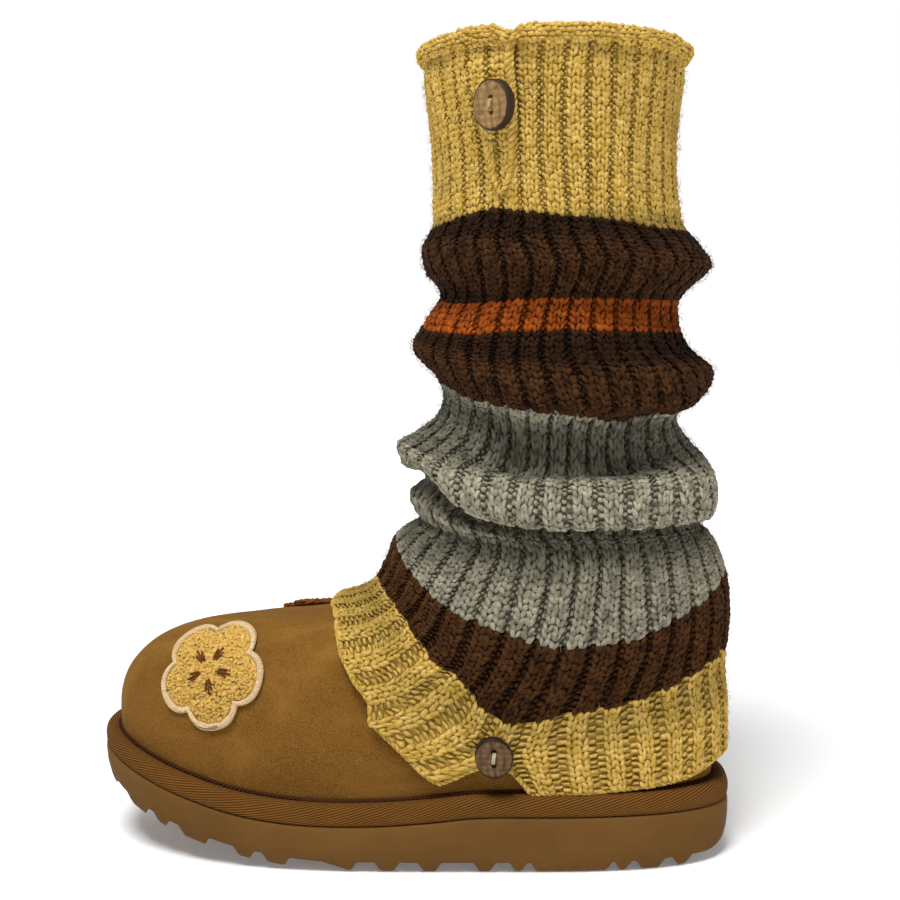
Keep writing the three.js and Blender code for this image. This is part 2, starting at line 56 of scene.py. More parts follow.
# Sole
GAP = 0.3
SEAT_GAP = 0.6
SOLE = {"front": 146.5, "back": -141.0, "wide": 44.0, "outer": 52.0, "inner": 50.0}
ROUND = {"toe": 2.5, "heel": 2.8, "collar": 2.15}
WAIST = {"at": -38, "span": 55, "outer": 0.05, "inner": 0.11}
SWING = {"from": 20, "to": 146.5, "depth": 7}
SOLE_STATIONS = columns("x top floor", [
    (-141, 24.5, 7.5), (-137, 24.5, 2.6), (-129, 24.4, 0), (-60, 24.2, 0), (-30, 24, 0),
    (-8, 21.8, 0), (12, 20.3, 0), (36, 19.8, 0), (56, 20.8, 1.9), (77, 23.6, 5.2),
    (98, 28.4, 10.4), (115, 33.2, 15.8), (128, 37.4, 20.8), (139, 41.2, 26.6), (146.5, 43.6, 32),
])
LUGS = columns("front back", [
    (142.5, 136.5), (127.5, 118.5), (113, 108), (100.5, 89), (75, 68.5), (62, 53), (33, 24),
    (13, 5.5), (-5.5, -12.5), (-29.5, -36), (-45, -49.5), (-54, -86), (-90, -94.5),
    (-99.5, -109), (-115.5, -121),
])
GROOVE = {"depth": 4.6, "inside": 1.6, "outside": 2.0}
SOLE_EDGE = columns("up inset", [(0, 3.4), (0.5, 2.6), (1.2, 2.1), (2.4, 1.5), (6, 0.4), (10, 0)])
SOLE_RIM = columns("inset drop", [(0.1, 1.4), (0.5, 0.4), (1.3, 0)])
SOLE_STEPS = {"half": 121, "least": 0.002, "near": np.linspace(-4.5, 4.5, 15), "passes": 8, "ease": 0.6}
# Shares across the tread, and how much narrower its lugs are there: the middle is sunk
TREAD = columns("across widen", [
    (0, 0), (0.015, 0.8), (0.035, 1.9), (0.06, 30), (0.5, 30), (0.94, 30), (0.965, 1.9), (0.985, 0.8), (1, 0),
])

# Welt: a stuffed twill tape on the sole, as places on its cross section
WELT_SECTION = columns("place inset up", [
    (0, 0.6, 0), (1, 0.1, 1.4), (2, 0, 2.8), (3, 0, 4.4), (4, 0.3, 6.0), (5, 1.1, 7.5),
    (6, 2.6, 8.6), (7, 4.4, 9.0), (8, 6.0, 8.7), (9, 7.1, 7.6), (10, 7.5, 5.8), (11, 7.6, 0),
])
WELT_STEPS = {"around": 420, "section": 23, "measured": 6}
WELT_SEAM = {"count": 330, "inset": 7.2, "lean": 1.0, "radius": 0.62, "fine": 4001}
SEAM_PATH = columns("shift inset up", [(-1, 5.9, 8.9), (-0.4, 6.6, 9.5), (0.4, 7.5, 9.4), (1, 8.3, 8.6)])

# Last
UPPER_WALL = 3
SHAFT_BASE = 22
LAST_PLAN = columns("level front wide outer inner back", [
    (0, 138, 44, 43.8, 41.8, -132.6), (0.1, 139.6, 42, 44.2, 42.2, -134),
    (0.2, 138.6, 36, 45.4, 43.4, -136), (0.3, 133, 27, 45.8, 43.8, -136),
    (0.4, 120.5, 16, 45.4, 43.4, -134), (0.5, 101, 2, 45, 43, -133),
    (0.6, 73, -14, 45, 43.5, -133), (0.7, 41, -32, 46, 45, -131),
    (0.8, 18.5, -46, 47.4, 46.8, -128.4), (0.9, 2, -56, 48.8, 48.4, -125.4),
    (1, -9, -65, 50, 50, -122),
])
LAST_HEIGHT = columns("level front side back", [
    (0, 0, 0, 0), (0.1, 15, 12, 13), (0.2, 31, 22, 25), (0.3, 46, 32.5, 37), (0.4, 61, 43, 49),
    (0.5, 72.5, 54, 61), (0.6, 80, 66, 73), (0.7, 84, 78, 86), (0.8, 92.5, 91, 99),
    (0.9, 106, 104, 111), (1, 120, 116, 120),
])

# Knit shaft: rows that lie on the last, then folds above the collar
KNIT_WALL = 4
KNIT_GAP = 1
COVER_ROWS = columns("row front low lowAt back bend", [
    (0, 0.69, 0.077, 104, 0.11, 4.5), (1, 0.8, 0.39, 112, 0.5, 2.6),
    (2, 0.92, 0.65, 112, 0.8, 1.4), (3, 1, 1, 112, 1, 1),
])
COVER_PUFF = columns("row front side back", [(0, 0, 0, 0), (1, 0, 0, 1), (2, 9, 3, 6), (3, 5, 1.5, 2)])
COVER_STEPS = np.arange(0, 3.01, 0.5)
HEM = columns("turn level", [
    (0, 0.715), (26, 0.702), (46, 0.662), (62, 0.611), (74, 0.557), (86, 0.472), (94, 0.31), (102, 0.135),
    (110, 0.082), (122, 0.077), (138, 0.092), (150, 0.111), (166, 0.165), (180, 0.165),
])
SLIT = {"at": 108.8, "front": 7.3, "back": 6.6, "rise": 0.168}
FOLDS = columns("front frontUp back backUp side sideUp", [
    (-0.5, 149, -127.5, 144.5, 55.5, 144), (3.6, 158.5, -127, 147, 56.5, 148),
    (0, 166.5, -129, 150.5, 59, 151.5), (9, 176, -133.7, 161, 66, 161),
    (4, 184.5, -130.5, 173, 63, 172), (-8.5, 194, -119, 187, 55.5, 182),
    (-12.4, 203, -116, 195, 54, 193), (-9, 212, -129, 206, 59, 205),
    (1.5, 224, -131.5, 215, 62, 215), (0.5, 232, -124, 224, 59, 224),
    (-7, 242, -116.5, 235, 55, 236), (-10.4, 249, -116.5, 246, 54, 247),
    (-3.5, 259, -130, 261, 61.5, 261), (-2, 269, -125, 269, 60.5, 269),
    (-6.3, 280.5, -117.4, 280.5, 55, 280), (-8, 295, -114.5, 295, 54, 295),
    (-6.3, 319.5, -114.5, 319.5, 55, 319.5), (-3, 341.5, -116.5, 341.5, 57, 341.5),
    (-3.5, 347, -116.5, 347, 57.5, 347), (-0.5, 351, -119.3, 351, 61, 351),
    (-1, 355, -118.6, 355, 60.2, 355), (-3.6, 357, -116, 357, 57.6, 357),
])
FOLD_ROUND = 2.1
FLAP = {"fade": 40 * DEGREE, "rise": 2.4, "sink": -0.6, "step": 0.14}

# Patches
PETAL = {"count": 5, "depth": 0.2, "sharp": 1.5}
EDGE_WIDTH = 2.6
TOE_PATCH = {"angle": 43 * DEGREE, "level": 0.445, "radius": 25, "turn": 0.3, "high": 3.4, "rim": 1.6}
INSTEP_PATCH = {"angle": -38 * DEGREE, "level": 0.61, "radius": 14.5, "turn": 0.9, "high": 3.2, "rim": 2.2}


# Curves and surfaces of the part
def mix(a, b, share):
    return a + (b - a) * share


def smooth(a, b, value):
    share = np.clip((value - a) / (b - a), 0, 1)
    return share * share * (3 - 2 * share)


def signed_power(value, exponent):
    return np.sign(value) * np.abs(value) ** exponent


def read(rows, key, column, at):
    """Smooth curve through one column of a table, read at values of its key column."""
    xs, ys = rows[key], rows[column]
    slopes = np.empty_like(ys)
    slopes[1:-1] = (ys[2:] - ys[:-2]) / (xs[2:] - xs[:-2])
    slopes[0] = (ys[1] - ys[0]) / (xs[1] - xs[0])
    slopes[-1] = (ys[-1] - ys[-2]) / (xs[-1] - xs[-2])
    at = np.clip(at, xs[0], xs[-1])
    row = np.clip(np.searchsorted(xs, at) - 1, 0, len(xs) - 2)
    span = xs[row + 1] - xs[row]
    share = (at - xs[row]) / span
    rest = 1 - share
    ends = ys[row] * rest * rest * (1 + 2 * share) + ys[row + 1] * share * share * (3 - 2 * share)
    return ends + span * share * rest * (slopes[row] * rest - slopes[row + 1] * share)


def read_row(rows, key, at):
    return {column: read(rows, key, column, at) for column in rows if column != key}


def around_foot(row, angle):
    forward = np.cos(angle)
    return mix(row["side"], np.where(forward > 0, row["front"], row["back"]), forward * forward)


def sole_top(x):
    return read(SOLE_STATIONS, "x", "top", x)


def sole_floor(x):
    return np.maximum(0, read(SOLE_STATIONS, "x", "floor", x))


def plan_point(size, angle, collar, bend):
    forward, sideways = np.cos(angle), np.sin(angle)
    power = 2 / mix(np.where(forward > 0, ROUND["toe"], ROUND["heel"]), ROUND["collar"], collar)
    reach = np.where(forward > 0, size["front"] - size["wide"], size["wide"] - size["back"])
    x = size["wide"] + reach * signed_power(forward, power)
    half = np.where(sideways > 0, size["outer"], size["inner"]) * signed_power(sideways, power)
    waist = np.where(sideways > 0, WAIST["outer"], WAIST["inner"])
    waist = waist * np.exp(-((x - WAIST["at"]) / WAIST["span"]) ** 2)
    swing = np.clip((x - SWING["from"]) / (SWING["to"] - SWING["from"]), 0, 1) ** 2 * SWING["depth"]
    return x, half * (1 - waist * bend) - swing * bend


def outline_point(angle, inset):
    size = {
        "front": SOLE["front"] - inset, "back": SOLE["back"] + inset, "wide": SOLE["wide"],
        "outer": SOLE["outer"] - inset, "inner": SOLE["inner"] - inset,
    }
    return plan_point(size, angle, 0, 1)


def last_point(angle, level):
    """Outer surface of the upper."""
    angle, level = np.broadcast_arrays(np.asarray(angle, float), np.asarray(level, float))
    x, y = plan_point(read_row(LAST_PLAN, "level", level), angle, level, 1 - level)
    up = around_foot(read_row(LAST_HEIGHT, "level", level), angle)
    return np.stack([x, y, mix(sole_top(x) + SEAT_GAP, SHAFT_BASE, level) + up], -1)


def unit(vectors):
    return vectors / np.maximum(np.linalg.norm(vectors, axis=-1, keepdims=True), 1e-9)


def last_normal(angle, level):
    step = 0.01
    around = last_point(angle + step, level) - last_point(angle - step, level)
    low, high = np.clip(level - step, 0, 1), np.clip(level + step, 0, 1)
    return unit(np.cross(around, last_point(angle, high) - last_point(angle, low)))


def last_offset(angle, level, offset):
    return last_point(angle, level) + last_normal(angle, level) * np.asarray(offset)[..., None]


def cover_level(turn, row):
    place = read_row(COVER_ROWS, "row", row)
    low_angle = place["lowAt"] * DEGREE
    dropped = np.minimum(turn / low_angle, 1) ** place["bend"]
    return mix(mix(place["front"], place["low"], dropped), place["back"], smooth(low_angle, np.pi, turn))


def cover_point(angle, row):
    """Outer surface of the shaft where it covers the boot, with the slit of the hem closed."""
    turn = np.arccos(np.clip(np.cos(angle), -1, 1))
    row = np.full_like(angle, row)
    hem = read(HEM, "turn", "level", turn / DEGREE) - cover_level(turn, np.zeros_like(angle))
    level = np.clip(cover_level(turn, row) + np.maximum(1 - row, 0) * hem, 0, 1)
    puff = around_foot(read_row(COVER_PUFF, "row", row), angle)
    return last_offset(angle, level, KNIT_GAP + KNIT_WALL + puff)


def knit_controls(angle):
    cover = [cover_point(angle, row) for row in COVER_STEPS]
    forward, sideways = np.cos(angle)[:, None], np.sin(angle)[:, None]
    power = 2 / FOLD_ROUND
    up = mix(FOLDS["sideUp"], np.where(forward > 0, FOLDS["frontUp"], FOLDS["backUp"]), forward ** 2)
    middle = (FOLDS["front"] + FOLDS["back"]) / 2
    x = middle + (FOLDS["front"] - FOLDS["back"]) / 2 * signed_power(forward, power)
    folds = np.stack([x, FOLDS["side"] * signed_power(sideways, power), up], -1)
    return np.concatenate([np.stack(cover, 1), folds], 1)


def centripetal(points, share):
    """Centripetal curve through the points of each column, at shares of its length in points."""
    before, after = 2 * points[:, :1] - points[:, 1:2], 2 * points[:, -1:] - points[:, -2:-1]
    padded = np.concatenate([before, points, after], 1)
    place = np.clip(share, 0, 1) * (points.shape[1] - 1)
    index = np.minimum(place.astype(int), points.shape[1] - 2)
    weight = (place - index)[None, :, None]
    p0, p1, p2, p3 = (padded[:, index + step] for step in range(4))

    def gap(a, b):
        return np.maximum(np.linalg.norm(a - b, axis=-1, keepdims=True), 1e-4) ** 0.5

    d0, d1, d2 = gap(p0, p1), gap(p1, p2), gap(p2, p3)
    m1 = ((p1 - p0) / d0 - (p2 - p0) / (d0 + d1) + (p2 - p1) / d1) * d1
    m2 = ((p2 - p1) / d1 - (p3 - p1) / (d1 + d2) + (p3 - p2) / d2) * d1
    square, cube = -3 * p1 + 3 * p2 - 2 * m1 - m2, 2 * p1 - 2 * p2 + m1 + m2
    return p1 + weight * (m1 + weight * (square + weight * cube))


def even_turn(count):
    """Even steps of a full turn, without its end."""
    return np.arange(count) / count * TURN


def signed_degrees(angle):
    return (angle / DEGREE + 180) % 360 - 180


def run_length(line):
    """Length along a line of points, from its start to each of them."""
    return np.concatenate([[0], np.cumsum(np.linalg.norm(np.diff(line, axis=0), axis=-1))])


def both_sides(half):
    """Angles all round the foot, from those of its outer side."""
    return np.concatenate([half, TURN - half[-2:0:-1]])


def across_foot(ring, across):
    """A sheet from the outer to the inner side of a ring, at shares across it."""
    steps = len(ring) // 2 + 1
    outer, inner = ring[:steps], ring[np.r_[0, len(ring) - 1:steps - 2:-1]]
    return outer[None] + (inner - outer)[None] * across[:, None, None]


def on_sole(angle, inset, up):
    """Points above the sole's top, at an inset from its outline."""
    x, y = outline_point(angle, inset)
    return np.stack([x, y, sole_top(x) + up], -1)


# Mesh helpers
def make_piece(name, points, faces, materials, slot, replaced=(), uv=None, chosen=None, light=None):
    """One piece from points in millimetres and arrays of three or four corners, riding on the boot."""
    mesh = bpy.data.meshes.new(name)
    points = np.asarray(points, float).reshape(-1, 3)
    faces = [np.asarray(f, np.int32) for f in (faces if isinstance(faces, list) else [faces])]
    corners = np.concatenate([f.ravel() for f in faces])
    sizes = np.concatenate([np.full(len(f), f.shape[1], np.int32) for f in faces])
    starts = np.concatenate([[0], np.cumsum(sizes)[:-1]]).astype(np.int32)
    mesh.vertices.add(len(points))
    mesh.vertices.foreach_set("co", ((points + [SHIFT_X, 0, 0]) * MM).astype(np.float32).ravel())
    mesh.loops.add(len(corners))
    mesh.loops.foreach_set("vertex_index", corners)
    mesh.polygons.add(len(sizes))
    mesh.polygons.foreach_set("loop_start", starts)
    mesh.update(calc_edges=True)
    mesh.polygons.foreach_set("use_smooth", np.ones(len(sizes), bool))
    if uv is not None:
        layer = mesh.uv_layers.new(name="UVMap")
        layer.data.foreach_set("uv", np.asarray(uv, np.float32)[corners].ravel())
    if light is not None:
        left = mesh.attributes.new("fold_light", "FLOAT", "POINT")
        left.data.foreach_set("value", np.asarray(light, np.float32))
    for material in materials if isinstance(materials, tuple) else (materials,):
        mesh.materials.append(material)
    if chosen is not None:
        chosen = np.pad(chosen, (0, len(sizes) - len(chosen)))
        mesh.polygons.foreach_set("material_index", chosen.astype(np.int32))
    piece = bpy.data.objects.new(name, mesh)
    bpy.context.scene.collection.objects.link(piece)
    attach(piece, "root")
    if replaced:
        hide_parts(*replaced)
    return piece


def grid_faces(rows, cols, close_rows=False, close_cols=True, start=0):
    """Faces of a grid whose points run along the columns first."""
    r = np.arange(rows if close_rows else rows - 1)
    c = np.arange(cols if close_cols else cols - 1)
    r, c = (a.ravel() for a in np.meshgrid(r, c, indexing="ij"))
    r2, c2 = (r + 1) % rows, (c + 1) % cols
    return start + np.stack([r * cols + c, r * cols + c2, r2 * cols + c2, r2 * cols + c], -1)


def spindle_faces(count, rings, sides):
    """Faces of many closed spindles, each of rings of corners and a point at either end."""
    per = rings * sides + 2
    quads, tris = [], []
    for ring in range(rings - 1):
        for side in range(sides):
            other = (side + 1) % sides
            quads.append([ring * sides + side, ring * sides + other,
                          (ring + 1) * sides + other, (ring + 1) * sides + side])
    low, high, last = rings * sides, rings * sides + 1, (rings - 1) * sides
    for side in range(sides):
        other = (side + 1) % sides
        tris.append([low, other, side])
        tris.append([high, last + side, last + other])
    shift = (np.arange(count) * per)[:, None, None]
    return [(shift + np.array(quads)).reshape(-1, 4), (shift + np.array(tris)).reshape(-1, 3)]


def tubes(paths, radius, sides=5, tip=0.6):
    """Closed round strands along paths of shape (count, points, 3), tapering at both ends."""
    count, steps = paths.shape[:2]
    along = unit(np.gradient(paths, axis=1))
    helper = np.where(np.abs(along[..., 2:]) < 0.9, [0.0, 0.0, 1.0], [1.0, 0.0, 0.0])
    across = unit(np.cross(along, helper))
    over = np.cross(across, along)
    turn = even_turn(sides)[:, None]
    radius = np.broadcast_to(radius, (count, steps))[..., None, None]
    ring = across[:, :, None] * np.cos(turn) + over[:, :, None] * np.sin(turn)
    rings = paths[:, :, None] + ring * radius
    ends = np.stack([paths[:, 0] - along[:, 0] * radius[:, 0, 0] * tip,
                     paths[:, -1] + along[:, -1] * radius[:, -1, 0] * tip], 1)
    points = np.concatenate([rings.reshape(count, -1, 3), ends], 1)
    return points.reshape(-1, 3), spindle_faces(count, steps, sides)


def joined(parts):
    """Points and faces of several meshes as one."""
    points, faces, start = [], [], 0
    for part_points, part_faces, *_ in parts:
        part_points = np.asarray(part_points).reshape(-1, 3)
        points.append(part_points)
        faces += [f + start for f in (part_faces if isinstance(part_faces, list) else [part_faces])]
        start += len(part_points)
    return np.concatenate(points), faces


# Material helpers
def srgb(*color):
    """Linear colour from eight-bit screen values."""
    c = np.array(color, float) / 255
    return (*np.where(c <= 0.04045, c / 12.92, ((c + 0.055) / 1.055) ** 2.4), 1.0)


def grey(value):
    return (value, value, value, 1)


def dimmed(color, share):
    return tuple(c * share for c in color)


class Nodes:
    """A node tree, built up from short calls."""

    def __init__(self, tree):
        self.tree = tree

    def feed(self, socket, value):
        if isinstance(value, bpy.types.NodeSocket):
            self.tree.links.new(value, socket)
        else:
            socket.default_value = value

    def node(self, kind, inputs=None, **settings):
        made = self.tree.nodes.new(kind)
        for key, value in settings.items():
            setattr(made, key, value)
        for key, value in (inputs or {}).items():
            self.feed(made.inputs[key], value)
        return made

    def axis(self, vector, name):
        return self.node("ShaderNodeSeparateXYZ", {0: vector}).outputs[name]

    def span(self, value, *limits):
        """A value moved from one range to another, given as the low and high end of both."""
        ends = dict(zip(("From Min", "From Max", "To Min", "To Max"), limits))
        return self.node("ShaderNodeMapRange", {"Value": value, **ends}).outputs[0]


class Shader(Nodes):
    """A node material, with values of its surface given by name."""

    def __init__(self, name, **values):
        self.material = bpy.data.materials.new(name)
        self.material.use_nodes = True
        super().__init__(self.material.node_tree)
        self.surface = self.tree.nodes["Principled BSDF"]
        self.bumped = None
        for key, value in values.items():
            self.surface.inputs[key.replace("_", " ")].default_value = value

    def coords(self, kind="Object", scale=(1, 1, 1), turn=(0, 0, 0)):
        source = self.node("ShaderNodeTexCoord").outputs[kind]
        return self.node("ShaderNodeMapping", {"Vector": source, "Scale": scale, "Rotation": turn}).outputs[0]

    def noise(self, scale, detail=2.0, rough=0.5, vector=None, distortion=0.0):
        return self.node("ShaderNodeTexNoise", {
            "Vector": vector or self.coords(), "Scale": scale, "Detail": detail,
            "Roughness": rough, "Distortion": distortion}).outputs["Fac"]

    def wave(self, vector, scale, distortion, detail, detail_scale, **settings):
        return self.node("ShaderNodeTexWave", {
            "Vector": vector, "Scale": scale, "Distortion": distortion, "Detail": detail,
            "Detail Scale": detail_scale}, **settings).outputs["Fac"]

    def ramp(self, value, stops):
        made = self.node("ShaderNodeValToRGB", {"Fac": value})
        band = made.color_ramp
        while len(band.elements) < len(stops):
            band.elements.new(0.5)
        for element, (place, color) in zip(band.elements, stops):
            element.position = place
            element.color = color
        return made.outputs["Color"]

    def tones(self, value, dark, light, ends=(0.3, 0.7)):
        """A ramp between two colours given as screen values."""
        return self.ramp(value, list(zip(ends, (srgb(*dark), srgb(*light)))))

    def blend(self, share, a, b, mode="MIX"):
        made = self.node("ShaderNodeMix", {0: share, 6: a, 7: b}, data_type="RGBA", blend_type=mode)
        return made.outputs[2]

    def math(self, operation, a, b=0.0):
        return self.node("ShaderNodeMath", {0: a, 1: b}, operation=operation).outputs[0]

    def part(self, value, share):
        return self.math("MULTIPLY", value, share)

    def color(self, value):
        self.feed(self.surface.inputs["Base Color"], value)

    def bump(self, height, strength, distance):
        made = self.node("ShaderNodeBump", {"Height": height, "Strength": strength, "Distance": distance})
        if self.bumped is not None:
            self.tree.links.new(self.bumped, made.inputs["Normal"])
        self.bumped = made.outputs[0]
        self.tree.links.new(self.bumped, self.surface.inputs["Normal"])
        return self


def yarn(name, dark, light, fuzz=0.3, ground_shade=0.8):
    """Soft spun yarn: tone that varies from stitch to stitch, fine fibres, and less light deep in a fold.

    Gives the yarn of the stitches and a darker copy of it for the ground under them: painted shade in the
    valleys between the stitches.
    """
    made = []
    # The ground's copy is dimmed: painted shade in the valleys under the stitches.
    for part, painted_shade in (("", 1.0), ("_shaded_ground", ground_shade)):
        s = Shader(name + part, Roughness=0.95, Sheen_Weight=fuzz * painted_shade, Sheen_Roughness=0.5,
                   Sheen_Tint=srgb(*light), Specular_IOR_Level=0.12)
        low, high = dimmed(dark, painted_shade), dimmed(light, painted_shade)
        tone = s.tones(s.noise(240, detail=3.0, rough=0.6), low, high)
        fibre = s.noise(2600, detail=3.0, rough=0.7)
        tone = s.blend(s.part(fibre, 0.5), tone, srgb(*dimmed(low, 0.6)))
        light_left = s.node("ShaderNodeAttribute", attribute_name="fold_light").outputs["Fac"]
        s.color(s.blend(1.0, tone, light_left, "MULTIPLY"))
        made.append(s.bump(fibre, strength=0.5, distance=0.0005).material)
    return tuple(made)


def suede(name):
    """Short nap, brushed this way and that into lighter and darker patches, and darker low on the foot."""
    s = Shader(name, Roughness=0.95, Sheen_Weight=0.15, Sheen_Roughness=0.4, Sheen_Tint=srgb(220, 178, 116),
               Specular_IOR_Level=0.06)
    brushed = s.coords(scale=(0.7, 1, 1.3), turn=(0.3, 0.5, 0.2))
    broad = s.ramp(s.noise(24, detail=5.0, rough=0.66, vector=brushed, distortion=0.8),
                   [(0.34, srgb(90, 57, 16)), (0.5, srgb(112, 75, 26)), (0.66, srgb(140, 98, 42))])
    low = s.span(s.axis(s.coords(), "Z"), 0.05, 0.1, 0.55, 0.0)
    marks = s.ramp(s.noise(120, detail=6.0, rough=0.74, vector=brushed, distortion=1.4),
                   [(0.4, grey(0)), (0.7, grey(1))])
    nap = s.noise(1500, detail=3.0, rough=0.7)
    speckle = s.ramp(nap, [(0.36, grey(0)), (0.64, grey(1))])
    tone = s.blend(low, broad, srgb(84, 52, 14))
    tone = s.blend(s.part(marks, 0.3), tone, srgb(84, 52, 15))
    s.color(s.blend(s.part(speckle, 0.4), tone, srgb(156, 116, 56)))
    s.bump(marks, strength=0.2, distance=0.001)
    return s.bump(nap, strength=0.45, distance=0.0006).material


def twill(name):
    """Woven tape with fine slanting ribs. The map runs along the tape and across it in metres."""
    s = Shader(name, Roughness=0.95, Specular_IOR_Level=0.12)
    slanted = s.coords("UV", turn=(0, 0, 74 * DEGREE))
    lines = s.wave(slanted, 290.0, distortion=0.5, detail=1.0, detail_scale=40.0, wave_profile="SIN")
    base = s.tones(s.noise(60, detail=4.0, rough=0.65), (54, 31, 5), (72, 44, 10))
    s.color(s.blend(s.part(lines, 0.75), base, srgb(138, 92, 38)))
    s.bump(lines, strength=0.7, distance=0.0006)
    return s.bump(s.noise(1800, rough=0.6), strength=0.3, distance=0.0003).material


def foam(name):
    """Matt moulded foam with pale scuffs and a fine grain."""
    s = Shader(name, Roughness=0.8, Specular_IOR_Level=0.16)
    broad = s.tones(s.noise(18, detail=4.0, rough=0.6), (91, 61, 23), (104, 72, 30))
    scuff = s.noise(240, detail=6.0, rough=0.75)
    s.color(s.blend(s.ramp(scuff, [(0.56, grey(0)), (0.78, grey(0.3))]), broad, srgb(124, 92, 48)))
    s.feed(s.surface.inputs["Roughness"], s.ramp(scuff, [(0.3, grey(0.7)), (0.7, grey(0.88))]))
    return s.bump(s.noise(1500), strength=0.22, distance=0.0003).material


def fleece(name, dark, light):
    s = Shader(name, Roughness=1.0, Sheen_Weight=0.3, Sheen_Roughness=0.5, Sheen_Tint=srgb(*light),
               Specular_IOR_Level=0.08)
    curls = s.noise(620, detail=4.0, rough=0.65, distortion=1.5)
    s.color(s.tones(curls, dark, light))
    return s.bump(curls, strength=0.8, distance=0.0016).material


def wood(name, dark, light, edge):
    """Sanded wood cut across a branch. The map is the button's face, one unit across."""
    s = Shader(name, Roughness=0.6, Specular_IOR_Level=0.25)
    along = s.coords("UV", scale=(1, 0.22, 1), turn=(0, 0, 0.5))
    grain = s.noise(9, detail=5.0, rough=0.6, vector=along, distortion=0.8)
    rings = s.wave(s.coords("UV"), 2.2, distortion=3.0, detail=3.0, detail_scale=1.6, wave_type="RINGS")
    base = s.tones(grain, dark, light, (0.34, 0.66))
    ringed = s.blend(s.part(rings, 0.45), base, srgb(*dimmed(dark, 0.8)))
    drawn_out = s.coords("UV", scale=(0.4, 2.0, 1), turn=(0, 0, 1.1))
    split = s.noise(2.6, detail=3.0, rough=0.6, vector=drawn_out)
    cracks = s.ramp(s.math("ABSOLUTE", s.math("SUBTRACT", split, 0.5)), [(0.0, grey(0.7)), (0.012, grey(0))])
    ringed = s.blend(cracks, ringed, srgb(*edge))
    ragged = s.part(s.noise(9, detail=3.0, rough=0.6, vector=s.coords("UV")), 0.05)
    centre = s.node("ShaderNodeVectorMath", {0: s.coords("UV"), 1: (0.5, 0.5, 0)}, operation="DISTANCE")
    bark = s.ramp(s.math("ADD", centre.outputs["Value"], ragged), [(0.465, grey(0)), (0.495, grey(1))])
    s.color(s.blend(bark, ringed, srgb(*edge)))
    s.bump(cracks, strength=-0.5, distance=0.0004)
    return s.bump(grain, strength=0.35, distance=0.0004).material


def thread(name, color):
    s = Shader(name, Roughness=0.85, Sheen_Weight=0.1, Sheen_Tint=srgb(*color), Specular_IOR_Level=0.15)
    strands = s.noise(1900, rough=0.6)
    s.color(s.tones(strands, dimmed(color, 0.7), color))
    return s.bump(strands, strength=0.4, distance=0.0003).material


YARNS = {
    "mustard": yarn("yarn_mustard", (188, 149, 54), (238, 202, 112), ground_shade=1.0),
    "brown": yarn("yarn_brown", (32, 16, 7), (82, 50, 23), 0.12),
    "deep_brown": yarn("yarn_deep_brown", (44, 24, 9), (90, 55, 24), 0.12),
    "orange": yarn("yarn_orange", (134, 54, 7), (222, 113, 33), 0.15),
    "grey": yarn("yarn_grey", (105, 100, 84), (184, 178, 154)),
}
SUEDE = suede("tan_suede")
TWILL = twill("twill_tape")
FOAM = foam("sole_foam")
LINING = fleece("lining_fleece", (150, 112, 66), (214, 180, 130))
GOLD = fleece("gold_fleece", (194, 144, 56), (244, 206, 118))
DARK_FLEECE = fleece("brown_fleece", (98, 54, 20), (158, 96, 44))
CREAM = thread("cream_cord", (244, 214, 166))
SEAM = thread("seam_thread", (70, 37, 12))
MARK = thread("mark_thread", (112, 62, 26))
PALE = thread("pale_thread", (205, 190, 165))
BEIGE = thread("beige_thread", (198, 170, 122))
LIGHT_WOOD = wood("light_wood", (116, 86, 48), (170, 134, 84), (44, 28, 14))
DARK_WOOD = wood("dark_wood", (66, 44, 24), (124, 92, 56), (28, 16, 8))


# Outsole: rings up its side, a tread with lugs along its edge and a sunk middle, and a flat top
def groove(x, widen=0.0):
    """How deep the tread is cut at x: rounded lugs, narrowed on each side by widen, with rounded grooves."""
    beyond = np.maximum(x[..., None] - LUGS["front"], LUGS["back"] - x[..., None]).min(-1)
    cut = smooth(-GROOVE["inside"], GROOVE["outside"], beyond + widen)
    return GROOVE["depth"] * np.where(x > LUGS["front"][0], 0, cut)


def sole_angles():
    """Angles of the sole's outer side, closer together beside the ends of the lugs."""
    corner = np.concatenate([LUGS["front"], LUGS["back"]])
    near = np.concatenate([corner + step for step in SOLE_STEPS["near"]])
    near = near[(near < SOLE["front"] - 1) & (near > SOLE["back"] + 1)]
    forward = near > SOLE["wide"]
    reach = np.where(forward, SOLE["front"] - SOLE["wide"], SOLE["wide"] - SOLE["back"])
    power = np.where(forward, ROUND["toe"], ROUND["heel"]) / 2
    share = signed_power((near - SOLE["wide"]) / reach, power)
    even = np.linspace(0, np.pi, SOLE_STEPS["half"])
    half = np.unique(np.round(np.concatenate([np.arccos(share), even]), 4))
    return np.concatenate([[0.0], half[1:-1][np.diff(half)[:-1] > SOLE_STEPS["least"]], [np.pi]])


